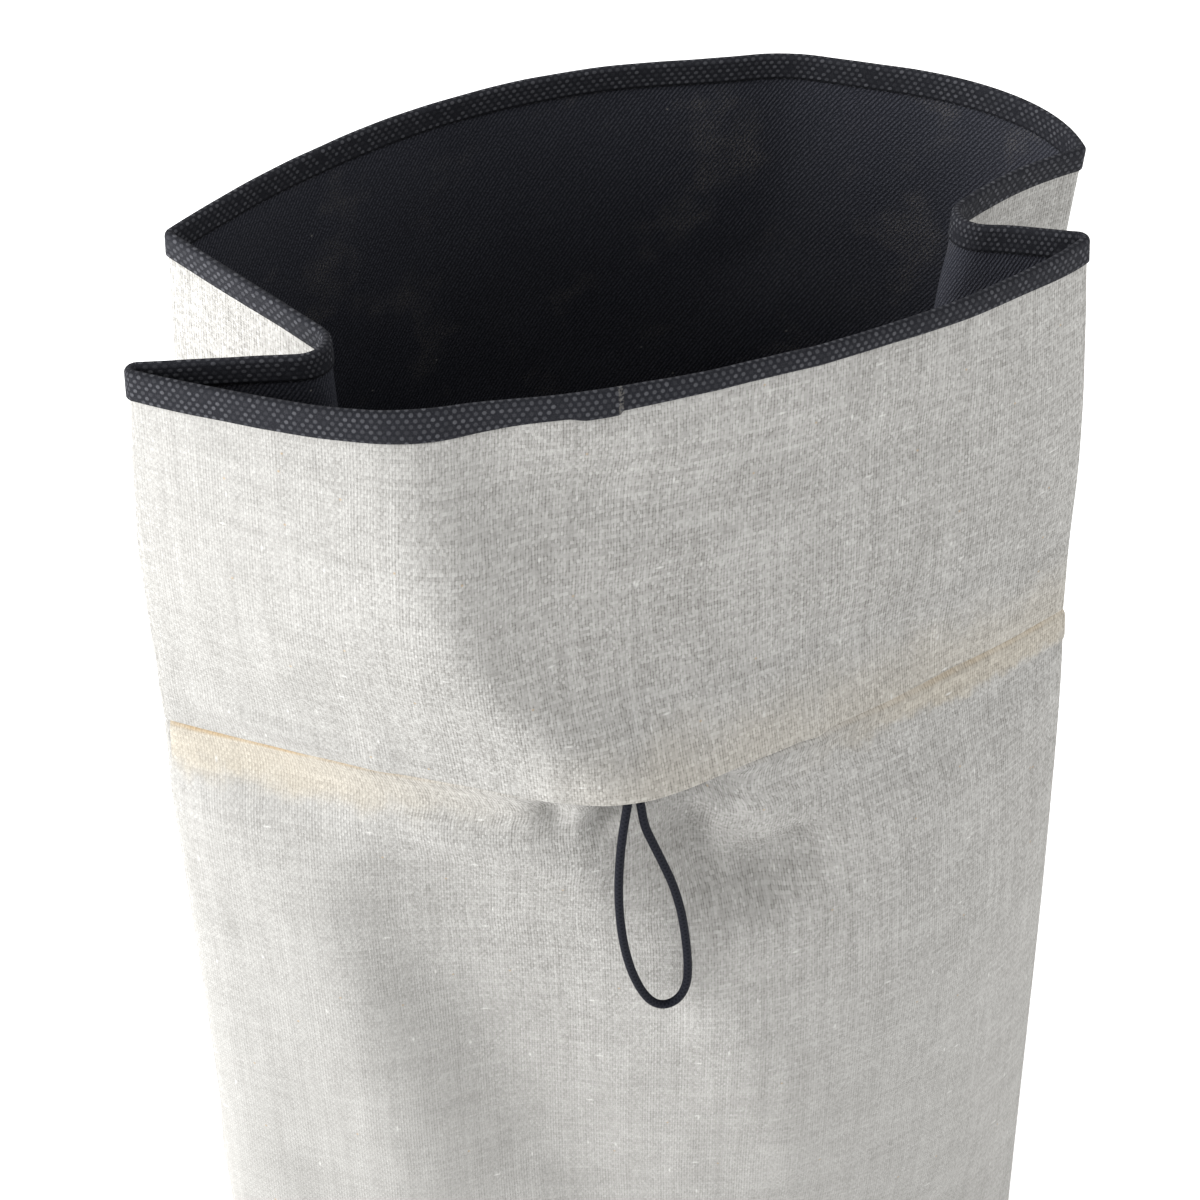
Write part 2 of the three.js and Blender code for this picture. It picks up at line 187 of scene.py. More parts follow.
SEAM_ROW = SectionRow(
    height=SEAM_HEIGHT, front_left=(-0.155, -0.033), front_right=(0.122, -0.042), right_tuck=(0.080, -0.0075),
    back_right=(0.129, 0.029), back_left=(-0.136, 0.036), left_tuck=(-0.100, -0.018),
    front=Panel(0.062, 0.465, 0.95, 0.95, 0.75), back=Panel(0.066, 0.54, 1.0, 0.6), right_bow=-0.001,
    tuck_radius=0.004)
SHOULDER_ROW = SectionRow(
    height=0.335, front_left=(-0.1575, -0.033), front_right=(0.123, -0.036), right_tuck=(0.0785, -0.011),
    back_right=(0.132, 0.021), back_left=(-0.135, 0.032), left_tuck=(-0.094, -0.033),
    front=Panel(0.054, 0.32, 0.95, 0.65, 0.3), back=Panel(0.070, 0.55, 1.0, 0.55), right_bow=-0.002,
    tuck_radius=0.0045)
RIM_ROW = SectionRow(
    height=RIM_HEIGHT, front_left=(-0.1595, -0.0336), front_right=(0.1223, -0.0304),
    right_tuck=(0.0815, -0.0158), back_right=(0.135, 0.0132), back_left=(-0.134, 0.0285),
    left_tuck=(-0.092, -0.0433), front=Panel(0.0445, 0.44, 0.92, 0.83), back=Panel(0.072, 0.55, 1.0, 0.46),
    right_bow=-0.0042, tuck_radius=0.007)


@dataclass(frozen=True)
class Fold:
    """A ridge (push above 0) or trough (push below 0) along a path over a panel.

    The path's points are the distance along the panel and the height. The fold shapes the cloth above or
    below the seam, or both. A fading fold is weaker towards its ends.
    """

    wall: Wall
    path: tuple[tuple[float, float], ...]
    width: float
    push: float
    side: str
    fade: float

    def at(self, place: np.ndarray, height: float) -> np.ndarray:
        """Give how far the fold pushes the cloth out.

        Args:
            place: Distances along the panel.
            height: The height over the base.

        Returns:
            The push at each place.
        """
        route = np.array(self.path)
        starts = run_lengths(route)
        nearest = np.full(place.shape, np.inf)
        share = np.zeros(place.shape)
        for k, step in enumerate(np.diff(route, axis=0)):
            length = starts[k + 1] - starts[k]
            reach = (place - route[k, 0]) * step[0] + (height - route[k, 1]) * step[1]
            reach = np.clip(reach / length ** 2, 0, 1)
            away = np.hypot(place - route[k, 0] - reach * step[0], height - route[k, 1] - reach * step[1])
            closer = away < nearest
            nearest = np.where(closer, away, nearest)
            share = np.where(closer, (starts[k] + reach * length) / starts[-1], share)
        profile = np.exp(-nearest ** 2 / (2 * self.width ** 2))
        return self.push * profile * (1 - self.fade * (2 * share - 1) ** 2)


@dataclass(frozen=True)
class Unevenness:
    """Faint waves in all directions that run over the cloth, from a fixed seed."""

    seed: int = 11
    count: int = 26
    shortest: float = 0.012
    longest: float = 0.075
    slope: float = 0.008

    def waves(self) -> np.ndarray:
        """Give each wave's turns per metre around and up, its phase and its height."""
        chance = np.random.default_rng(self.seed)
        length = np.exp(chance.uniform(math.log(self.shortest), math.log(self.longest), self.count))
        angle = chance.uniform(0, math.pi, self.count)
        phase = chance.uniform(0, 2 * math.pi, self.count)
        height = self.slope * length / (2 * math.pi)
        return np.stack([np.cos(angle) / length, np.sin(angle) / length, phase, height], axis=1)

    def at(self, around: np.ndarray, height: float) -> np.ndarray:
        """Give how far the waves push the cloth out at places round the bag."""
        total = np.zeros_like(around)
        for turns_around, turns_up, phase, size in self.waves():
            total += size * np.sin(2 * math.pi * (turns_around * around + turns_up * height) + phase)
        return total


def folds(wall: Wall, side: str, *rows: tuple) -> Iterator[Fold]:
    """Make folds from rows of numbers, in millimetres.

    Args:
        wall: The wall that the folds are on.
        side: The cloth that they shape.
        rows: Each fold's width, its push, how much it fades, and its path's points.

    Yields:
        The folds.
    """
    for width, push, fade, *path in rows:
        yield Fold(wall, tuple((x / 1000, z / 1000) for x, z in path), width / 1000, push / 1000, side, fade)


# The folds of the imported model
FOLDS = (
    *folds(
        Wall.FRONT, "both",
        (20, 4, 0, (68, 400), (80, 345)), (17, 3, 0, (80, 345), (122, 290))),
    *folds(
        Wall.FRONT, "above",
        (11, -1.5, 0, (100, 385), (110, 360))),
    *folds(
        Wall.FRONT, "below",
        (15, 5, 0, (40, 235), (60, 110)), (26, -6.5, 0, (84, 215), (108, 110)), (8, 1.5, 0, (84, 250), (118, 242)),
        (12, -3.5, 0, (140, 260), (150, 226)), (11, -3.5, 0, (158, 246), (180, 232))),
    *folds(
        Wall.BACK, "both",
        (13, 3.5, 0, (78, 400), (78, 330)), (18, -4, 0, (120, 210), (190, 150))),
)
# The finer creases of the soft cloth
CREASES = (
    *folds(
        Wall.FRONT, "above",
        (9, 1.5, 0.5, (80, 384), (86, 355), (90, 328), (106, 306), (136, 289), (150, 277)),
        (9, -1.6, 0.5, (98, 382), (108, 360)), (10, -2.6, 0.5, (108, 328), (124, 312), (150, 298)),
        (6, 1.4, 0.8, (120, 388), (150, 382), (174, 372)), (7, -2, 0.8, (108, 376), (150, 364)),
        (7, 1.6, 0.8, (108, 352), (150, 350), (192, 341)), (7, -1.6, 0.8, (196, 368), (250, 356)),
        (9, -2.6, 0.7, (190, 306), (246, 286)), (3.5, 1.4, 0.7, (242, 304), (258, 279)),
        (3, 1.7, 0.4, (4, 289), (34, 283), (64, 277)), (2.6, 0.8, 0.7, (61, 296), (65, 274))),
    *folds(
        Wall.FRONT, "both",
        (2.6, 1.4, 0.7, (193, 288), (199, 262))),
    *folds(
        Wall.FRONT, "below",
        (6, 2.2, 0.6, (58, 261), (80, 253), (100, 247), (122, 239)),
        (10, -1.5, 0.5, (72, 205), (84, 180), (94, 140), (108, 112)),
        (15, -3.6, 0.3, (36, 262), (40, 240), (44, 220)),
        (12, 3.6, 0.3, (148, 214), (164, 180), (178, 140), (190, 100)), (14, -2.2, 0.2, (104, 160), (122, 100)),
        (3.6, -4.4, 0.4, (112, 270), (115, 260)), (3.4, 1.8, 0.4, (122, 272), (118, 261)),
        (3.2, -6.4, 0.4, (137, 271), (130.5, 265), (126.5, 258)), (5, -7.8, 0.4, (142, 268), (162, 267)),
        (7.8, -10, 0.3, (156, 268), (154, 255), (155, 243), (161, 232), (176, 227), (190, 234)),
        (6, 2, 0.5, (166, 266), (182, 250)), (7, 1.6, 0.6, (150, 219), (170, 214), (192, 210)),
        (6, -2.2, 0.5, (200, 256), (245, 252), (284, 256)), (3.5, 0.4, 0.7, (155, 202), (159, 136)),
        (6, 0.5, 0.7, (228, 202), (236, 140))),
    *folds(
        Wall.BACK, "above",
        (8, 1, 0.7, (190, 390), (205, 340), (190, 300))),
    *folds(
        Wall.BACK, "below",
        (7, -1.2, 0.7, (60, 265), (110, 235)), (9, 1.4, 0.7, (210, 262), (235, 200), (228, 130)),
        (10, 1.4, 0.7, (60, 150), (100, 80))),
    *folds(
        Wall.LEFT_BACK, "both",
        (20, 1, 0.7, (120, 330), (170, 240), (160, 130))),
    *folds(
        Wall.LEFT_FRONT, "both",
        (20, -1, 0.7, (110, 300), (150, 180))),
    *folds(
        Wall.RIGHT_BACK, "both",
        (20, 1, 0.7, (130, 320), (160, 200), (140, 110))),
)
# How much higher than its level the seam lies round the front, from the front left corner
SEAM_RISE = ((0.0, 0.0020), (0.060, 0.0013), (0.130, 0.0008), (0.200, 0.0008), (0.290, 0.0006), (0.420, 0.0),
             (0.700, 0.0), (0.808, 0.0020))


@dataclass
class Ring:
    """A closed loop of points with their places on the flat cloth."""

    points: np.ndarray
    around: np.ndarray
    up: np.ndarray
    wall: np.ndarray
    along: np.ndarray


@dataclass
class WallCurve:
    """One wall of a section as a curve measured by its length."""

    points: np.ndarray
    lengths: np.ndarray

    def at(self, distance: np.ndarray) -> np.ndarray:
        """Give the points at distances from the wall's start."""
        return np.stack([np.interp(distance, self.lengths, self.points[:, k]) for k in (0, 1)], axis=-1)

    def normal(self, distance: np.ndarray) -> np.ndarray:
        """Give the outward normals at distances from the wall's start."""
        probe = 0.0015
        end = self.lengths[-1]
        run = self.at(np.clip(distance + probe, 0, end)) - self.at(np.clip(distance - probe, 0, end))
        run = run / np.linalg.norm(run, axis=-1, keepdims=True)
        return np.stack([run[..., 1], -run[..., 0]], axis=-1)


@dataclass
class BagForm:
    """The shape of the bag's outer face, and the loops round it at any height and depth."""

    lower_rows: Sequence[SectionRow] = (BASE_ROW, LOW_ROW, BELLY_ROW, UNDER_SEAM_ROW, SEAM_ROW)
    upper_rows: Sequence[SectionRow] = (SEAM_ROW, SHOULDER_ROW, RIM_ROW)
    folds: Sequence[Fold] = FOLDS + CREASES
    unevenness: Unevenness = Unevenness()
    wall_steps: dict[Wall, int] = field(default_factory=lambda: {
        Wall.FRONT: 180, Wall.RIGHT_FRONT: 16, Wall.RIGHT_BACK: 22, Wall.BACK: 90, Wall.LEFT_BACK: 24,
        Wall.LEFT_FRONT: 18})
    cloth_widths: dict[Wall, float] = field(default_factory=lambda: {
        Wall.FRONT: 0.290, Wall.RIGHT_FRONT: 0.052, Wall.RIGHT_BACK: 0.058, Wall.BACK: 0.290,
        Wall.LEFT_BACK: 0.060, Wall.LEFT_FRONT: 0.058})
    corner_steps: int = 7
    wall_samples: int = 220
    corner_probe: float = 0.006
    sewn_reach: float = 0.0035
    crowding: float = 0.45
    crowd_centre: float = 0.49

    def cloth_around(self) -> float:
        """Give the length of the cloth round the bag."""
        return sum(self.cloth_widths.values())

    def section(self, height: float) -> SectionRow:
        """Blend the section rows at a height, without overshoot.

        Args:
            height: The height over the base.

        Returns:
            The row at that height.
        """
        rows = self.upper_rows if height >= SEAM_HEIGHT else self.lower_rows
        table = np.array([row.numbers() for row in rows])
        heights = table[:, 0]
        place = float(np.clip(height, heights[0], heights[-1]))
        spans = np.diff(heights)
        rates = np.diff(table, axis=0) / spans[:, None]
        slopes = np.zeros_like(table)
        slopes[0], slopes[-1] = rates[0], rates[-1]
        product = rates[:-1] * rates[1:]
        total = np.where(np.abs(rates[:-1] + rates[1:]) < 1e-12, 1.0, rates[:-1] + rates[1:])
        slopes[1:-1] = np.where(product > 0, 2 * product / total, 0)
        k = min(int(np.searchsorted(heights, place, side="right")) - 1, len(spans) - 1)
        t = (place - heights[k]) / spans[k]
        mixed = ((1 + 2 * t) * (1 - t) ** 2 * table[k] + t * (1 - t) ** 2 * spans[k] * slopes[k]
                 + t * t * (3 - 2 * t) * table[k + 1] + t * t * (t - 1) * spans[k] * slopes[k + 1])
        return SectionRow(place, *mixed[1:13].reshape(6, 2), Panel(*mixed[13:18]), Panel(*mixed[18:23]), *mixed[23:])

    def push(self, wall: Wall, along: np.ndarray, height: float, below_seam: bool) -> np.ndarray:
        """Add up the folds and the faint waves at places on a wall.

        Args:
            wall: The wall.
            along: Shares of the wall's width.
            height: The height over the base.
            below_seam: Whether the cloth is the one under the seam.

        Returns:
            How far the cloth is pushed out at each share.
        """
        total = np.zeros_like(along)
        place = along * PANEL_WIDTH
        side = "below" if below_seam else "above"
        sewn = float(smoothstep(np.array(SEAM_HEIGHT - height), 0.0, self.sewn_reach)) if below_seam else 1.0
        for fold in self.folds:
            if fold.wall is wall and fold.side in ("both", side):
                total += fold.at(place, height) * (1.0 if fold.side == "both" else sewn)
        if wall is Wall.FRONT and below_seam:
            total += LoopPucker().push(place, height) * sewn
        start = sum(self.cloth_widths[other] for other in Wall if other.value < wall.value)
        total += self.unevenness.at(start + along * self.cloth_widths[wall], height)
        return total * np.minimum(1, 12 * along * (1 - along))

    def crowded(self, share: np.ndarray) -> np.ndarray:
        """Draw evenly spaced shares of the front panel together round the loop."""
        turn = 2 * math.pi
        wave = np.sin(turn * (share - self.crowd_centre)) + math.sin(turn * self.crowd_centre)
        return share - self.crowding / turn * wave

    def wall_curve(self, row: SectionRow, wall: Wall, below_seam: bool) -> WallCurve:
        """Draw one wall of a section between its sharp corners."""
        corners = row.corners()
        start = corners[wall.value]
        run = corners[(wall.value + 1) % 6] - start
        out = np.array([run[1], -run[0]]) / np.linalg.norm(run)
        along = (1 - np.cos(np.linspace(0, math.pi, self.wall_samples + 1))) / 2
        stand = self.push(wall, along, row.height, below_seam)
        if wall is Wall.FRONT:
            stand = stand + row.front.shape(along)
        if wall is Wall.BACK:
            stand = stand + row.back.shape(1 - along)
        if wall is Wall.RIGHT_BACK:
            stand = stand + row.right_bow * 4 * along * (1 - along)
        points = start + along[:, None] * run + stand[:, None] * out
        return WallCurve(points, run_lengths(points))

    def ring(self, height: float, inset: float, level: float | None = None, up: float | None = None,
             below_seam: bool | None = None) -> Ring:
        """Make a closed loop round the bag.

        Args:
            height: The height at which the section is read.
            inset: How far the loop lies inside the outer face.
            level: The height of the loop's points, where it differs.
            up: The place up the flat cloth, where it differs.
            below_seam: Whether the loop is part of the cloth under the seam.

        Returns:
            The loop, starting at the front left corner.
        """
        below = height < SEAM_HEIGHT if below_seam is None else below_seam
        row = self.section(height)
        curves = [self.wall_curve(row, wall, below) for wall in Wall]
        corners = [self.corner(curves[k], curves[(k + 1) % 6], inset, row.tuck_radius) for k in range(6)]
        points, around, walls, alongs = [], [], [], []
        start = 0.0
        for wall in Wall:
            k = wall.value
            curve, following = curves[k], curves[(k + 1) % 6]
            side, radius, trim = corners[k]
            steps = self.wall_steps[wall]
            share = np.linspace(0, 1, steps + 1)
            if wall is Wall.FRONT:
                share = self.crowded(share)
            distance = corners[k - 1][2] + share * (curve.lengths[-1] - trim - corners[k - 1][2])
            place = curve.at(distance) - inset * curve.normal(distance)
            along = distance / curve.lengths[-1]
            points.append(place)
            around.append(start + along * self.cloth_widths[wall])
            walls.append(np.full(steps + 1, k))
            alongs.append(along)
            leave, enter = curve.normal(distance[-1:])[0], following.normal(np.array([trim]))[0]
            reach = inset + side * radius
            centre_leave = curve.at(distance[-1:])[0] - reach * leave
            centre_enter = following.at(np.array([trim]))[0] - reach * enter
            share = np.arange(1, self.corner_steps)[:, None] / self.corner_steps
            sweep = math.atan2(leave[0] * enter[1] - leave[1] * enter[0], float(leave @ enter))
            angle = math.atan2(leave[1], leave[0]) + sweep * share
            arm = side * radius * np.concatenate([np.cos(angle), np.sin(angle)], axis=1)
            points.append(centre_leave + (centre_enter - centre_leave) * share + arm)
            start += self.cloth_widths[wall]
            after = start + trim / following.lengths[-1] * self.cloth_widths[Wall((k + 1) % 6)]
            before = around[-1][-1]
            around.append(before + (after - before) * share[:, 0])
            walls.append(np.full(self.corner_steps - 1, k))
            alongs.append(np.ones(self.corner_steps - 1))
        plan = np.concatenate(points) - np.array(PLAN_CENTRE)
        stands_at = height if level is None else level
        place = np.concatenate(around)
        rise = np.interp(place, *np.transpose(SEAM_RISE)) * math.exp(-((height - SEAM_HEIGHT) / 0.030) ** 2)
        flat_up = np.full(len(plan), stands_at if up is None else up)
        return Ring(np.column_stack([plan, stands_at + rise]), place, flat_up, np.concatenate(walls),
                    np.concatenate(alongs))

    def corner(self, before: WallCurve, after: WallCurve, inset: float, tuck_radius: float) -> tuple:
        """Find a corner's side, its radius at an inset, and the length that it takes off its walls."""
        leave = before.normal(before.lengths[-1:] - self.corner_probe)[0]
        enter = after.normal(np.array([self.corner_probe]))[0]
        turn = math.atan2(leave[0] * enter[1] - leave[1] * enter[0], float(leave @ enter))
        if turn > 0:
            radius = max(CORNER_RADIUS - inset, SHARPEST_RADIUS)
            return 1, radius, (inset + radius) * math.tan(turn / 2)
        radius = max(tuck_radius + inset, SHARPEST_RADIUS)
        return -1, radius, (radius - inset) * math.tan(-turn / 2)


    def edge_rings(self, inset: float, steps: int = 6) -> list[Ring]:
        """Make the rings of the rounded bottom edge, from the flat base up to the wall.

        Args:
            inset: How far the rings lie inside the outer face.
            steps: How many steps the edge has.

        Returns:
            The rings.
        """
        rings = []
        radius = BASE_EDGE_RADIUS - inset
        for angle in np.radians(np.linspace(90, 0, steps + 1)):
            rings.append(self.ring(BASE_EDGE_RADIUS - radius * math.sin(angle),
                                   BASE_EDGE_RADIUS - radius * math.cos(angle),
                                   up=BASE_EDGE_RADIUS * (1 - angle)))
        return rings

    def shifted_in(self, ring: Ring, height: float, inset: float, below_seam: bool, shift: np.ndarray) -> Ring:
        """Move a ring's points further into the bag.

        Args:
            ring: The ring, which is changed.
            height: The height at which the way in is read.
            inset: The depth at which the way in is read.
            below_seam: Whether the ring is part of the cloth under the seam.
            shift: How far each point moves.

        Returns:
            The same ring.
        """
        probe = 0.001
        near, deep = (self.ring(height, depth, below_seam=below_seam) for depth in (inset, inset + probe))
        ring.points = ring.points + (deep.points - near.points) / probe * np.reshape(shift, (-1, 1))
        return ring


@dataclass(frozen=True)
class LoopPucker:
    """The pucker under the cross seam that the cord loop hangs out of."""

    along: float = 0.134
    height: float = 0.269
    across: float = 0.011
    deep: float = 0.0075
    depth: float = 0.0046

    def push(self, place: np.ndarray, height: float) -> np.ndarray:
        """Give how far the pucker pulls the cloth in."""
        sideways = (place - self.along) / self.across
        down = (height - self.height) / self.deep
        return -self.depth * np.exp(-(sideways ** 2 + down ** 2) / 2)


class Mesher:
    """Turns rings into Blender meshes with the flat cloth as their UV map."""

    UV_NAME = "Cloth"

    @staticmethod
    def loft(name: str, rings: Sequence[Ring], total: float, closed: bool, caps: bool = False) -> bpy.types.Object:
        """Skin rings of equal point counts.

        Args:
            name: The object's name.
            rings: The loops, in order up the outside and down the inside.
            total: The length of cloth round the bag, for the UV map's last strip.
            closed: Whether the last ring joins the first.
            caps: Whether the first and last rings are filled.

        Returns:
            The new object, its faces pointing outwards.
        """
        count = len(rings[0].points)
        vertices = np.concatenate([ring.points for ring in rings])
        strips = len(rings) if closed else len(rings) - 1
        faces, corners = [], []
        for j in range(strips):
            here, there = rings[j], rings[(j + 1) % len(rings)]
            low, high = j * count, ((j + 1) % len(rings)) * count
            i = np.arange(count)
            k = (i + 1) % count
            faces.append(np.stack([low + i, low + k, high + k, high + i], axis=1))
            wrap = np.where(k == 0, total, 0.0)
            uv = np.stack([
                np.stack([here.around, here.up], axis=1),
                np.stack([here.around[k] + wrap, here.up[k]], axis=1),
                np.stack([there.around[k] + wrap, there.up[k]], axis=1),
                np.stack([there.around, there.up], axis=1)], axis=1)
            corners.append(uv.reshape(-1, 2))
        quads = np.concatenate(faces)
        polygons = quads.tolist()
        uvs = np.concatenate(corners)
        if caps:
            first = list(range(count))[::-1]
            last = [(len(rings) - 1) * count + i for i in range(count)]
            polygons += [first, last]
            uvs = np.concatenate([uvs, vertices[first][:, :2], vertices[last][:, :2]])
        mesh = bpy.data.meshes.new(name)
        mesh.from_pydata(vertices.tolist(), [], polygons)
        layer = mesh.uv_layers.new(name=Mesher.UV_NAME)
        layer.data.foreach_set("uv", uvs.astype(np.float32).ravel())
        mesh.polygons.foreach_set("use_smooth", np.ones(len(mesh.polygons), bool))
        mesh.update()
        piece = bpy.data.objects.new(name, mesh)
        bpy.context.scene.collection.objects.link(piece)
        return piece


class Value:
    """A number or vector in a shader tree. Sums, products and the like add Math nodes to the tree."""

    def __init__(self, graph: "Graph", socket: bpy.types.NodeSocket) -> None:
        """Wrap a socket.

        Args:
            graph: The graph that the socket is in.
            socket: The output socket.
        """
        self.graph = graph
        self.socket = socket

    def __add__(self, other: "Value | float") -> "Value":
        """Add a value or number."""
        return self.graph.math("ADD", self, other)

    def __sub__(self, other: "Value | float") -> "Value":
        """Take off a value or number."""
        return self.graph.math("SUBTRACT", self, other)

    def __rsub__(self, other: float) -> "Value":
        """Take this value off a number."""
        return self.graph.math("SUBTRACT", other, self)

    def __mul__(self, other: "Value | float") -> "Value":
        """Multiply by a value or number."""
        return self.graph.math("MULTIPLY", self, other)

    def __truediv__(self, other: "Value | float") -> "Value":
        """Divide by a value or number."""
        return self.graph.math("DIVIDE", self, other)

    def __rtruediv__(self, other: float) -> "Value":
        """Divide a plain number by this value."""
        return self.graph.math("DIVIDE", other, self)

    def scaled(self, factor: "Value | float", plus: "Value | float") -> "Value":
        """Multiply and add in a single node."""
        return self.graph.math("MULTIPLY_ADD", self, factor, plus)

    def floor(self) -> "Value":
        """Round down."""
        return self.graph.math("FLOOR", self)

    def zigzag(self, reach: float = 0.5) -> "Value":
        """Go up to reach and down to 0 again, over and over."""
        return self.graph.math("PINGPONG", self, reach)

    def above(self, limit: float) -> "Value":
        """Give 1 where the value is above a limit, otherwise 0."""
        return self.graph.math("GREATER_THAN", self, limit)

    def below(self, limit: float) -> "Value":
        """Give 1 where the value is below a limit, otherwise 0."""
        return self.graph.math("LESS_THAN", self, limit)

    def ease(self, low: "Value | float", high: "Value | float", to_low: float = 0.0, to_high: float = 1.0) -> "Value":
        """Ease from to_low to to_high as the value goes from low to high."""
        node = self.graph.add("ShaderNodeMapRange", {"Value": self, "From Min": low, "From Max": high,
                                                     "To Min": to_low, "To Max": to_high},
                              interpolation_type="SMOOTHSTEP", clamp=True)
        return Value(self.graph, node.outputs["Result"])


class Graph:
    """Short calls that add nodes to one shader tree and join them."""

    def __init__(self, tree: bpy.types.NodeTree) -> None:
        """Work on a tree.

        Args:
            tree: The material's or the group's node tree.
        """
        self.tree = tree

    def add(self, kind: str, inputs: dict | None = None, **settings) -> bpy.types.Node:
        """Add a node.

        Args:
            kind: The node's type name.
            inputs: Values or numbers for its inputs, by name or place.
            settings: The node's own settings.

        Returns:
            The node.
        """
        node = self.tree.nodes.new(kind)
        for key, value in settings.items():
            setattr(node, key, value)
        for key, value in (inputs or {}).items():
            self.feed(node.inputs[key], value)
        return node

    def feed(self, socket: bpy.types.NodeSocket, value: "Value | object") -> None:
        """Link a value into an input, or set the input's own number."""
        if isinstance(value, Value):
            self.tree.links.new(value.socket, socket)
        else:
            socket.default_value = value

    def math(self, operation: str, *values: "Value | float", clamp: bool = False) -> Value:
        """Add a Math node and give its result."""
        node = self.add("ShaderNodeMath", dict(enumerate(values)), operation=operation, use_clamp=clamp)
        return Value(self, node.outputs[0])

    def split(self, vector: Value) -> tuple[Value, Value]:
        """Give a vector's first two numbers."""
        node = self.add("ShaderNodeSeparateXYZ", {"Vector": vector})
        return Value(self, node.outputs["X"]), Value(self, node.outputs["Y"])

    def join(self, x: "Value | float", y: "Value | float", z: float = 0.0) -> Value:
        """Make a vector of three numbers."""
        return Value(self, self.add("ShaderNodeCombineXYZ", {"X": x, "Y": y, "Z": z}).outputs[0])

    def noise(self, place: Value | tuple, scale: float = 1.0, detail: float = 2.0, roughness: float = 0.5) -> Value:
        """Add a Noise Texture at a vector or a pair of numbers, and give its value, about 0.5 on average."""
        place = self.join(*place) if isinstance(place, tuple) else place
        node = self.add("ShaderNodeTexNoise", {"Vector": place, "Scale": scale, "Detail": detail,
                                               "Roughness": roughness}, noise_dimensions="2D")
        return Value(self, node.outputs["Fac"])

    def mix(self, factor: "Value | float", first: "Value | tuple", second: "Value | tuple", blend: str = "MIX"
            ) -> Value:
        """Mix two colours."""
        node = self.add("ShaderNodeMix", data_type="RGBA", blend_type=blend)
        for place, value in ((0, factor), (6, first), (7, second)):
            self.feed(node.inputs[place], value)
        return Value(self, node.outputs[2])

    def cloth_place(self) -> tuple[Value, Value, Value]:
        """Give the place on the flat cloth from the UV map, as a vector and its two numbers."""
        place = Value(self, self.add("ShaderNodeUVMap", uv_map=Mesher.UV_NAME).outputs["UV"])
        return place, *self.split(place)


class GroupMaker:
    """Builds a shader node group once and hands it out again."""

    NAME: str
    INPUTS: dict[str, float | None]
    OUTPUTS: Sequence[str]

    @classmethod
    def tree(cls) -> bpy.types.NodeTree:
        """Give the group's tree, made at the first call. An input without a default is a vector."""
        found = bpy.data.node_groups.get(cls.NAME)
        if found is not None:
            return found
        tree = bpy.data.node_groups.new(cls.NAME, "ShaderNodeTree")
        for name, default in cls.INPUTS.items():
            kind = "NodeSocketVector" if default is None else "NodeSocketFloat"
            socket = tree.interface.new_socket(name=name, in_out="INPUT", socket_type=kind)
            if default is not None:
                socket.default_value = default
        for name in cls.OUTPUTS:
            tree.interface.new_socket(name=name, in_out="OUTPUT", socket_type="NodeSocketFloat")
        g = Graph(tree)
        given, result = tree.nodes.new("NodeGroupInput"), tree.nodes.new("NodeGroupOutput")
        values = cls.results(g, {name: Value(g, given.outputs[name]) for name in cls.INPUTS})
        for name, value in zip(cls.OUTPUTS, values):
            g.feed(result.inputs[name], value)
        return tree

    @classmethod
    def results(cls, g: Graph, given: dict[str, Value]) -> Sequence[Value]:
        """Build the group's nodes.

        Args:
            g: The group's graph.
            given: The group's inputs.

        Returns:
            The group's outputs, in order.
        """
        raise NotImplementedError

    @classmethod
    def place(cls, g: Graph, place: Value, *numbers: float) -> list[Value]:
        """Put the group into a graph, with its other inputs' numbers in order, and give its outputs."""
        node = g.add("ShaderNodeGroup", node_tree=cls.tree())
        for name, value in zip(cls.INPUTS, (place, *numbers)):
            g.feed(node.inputs[name], value)
        return [Value(g, node.outputs[name]) for name in cls.OUTPUTS]


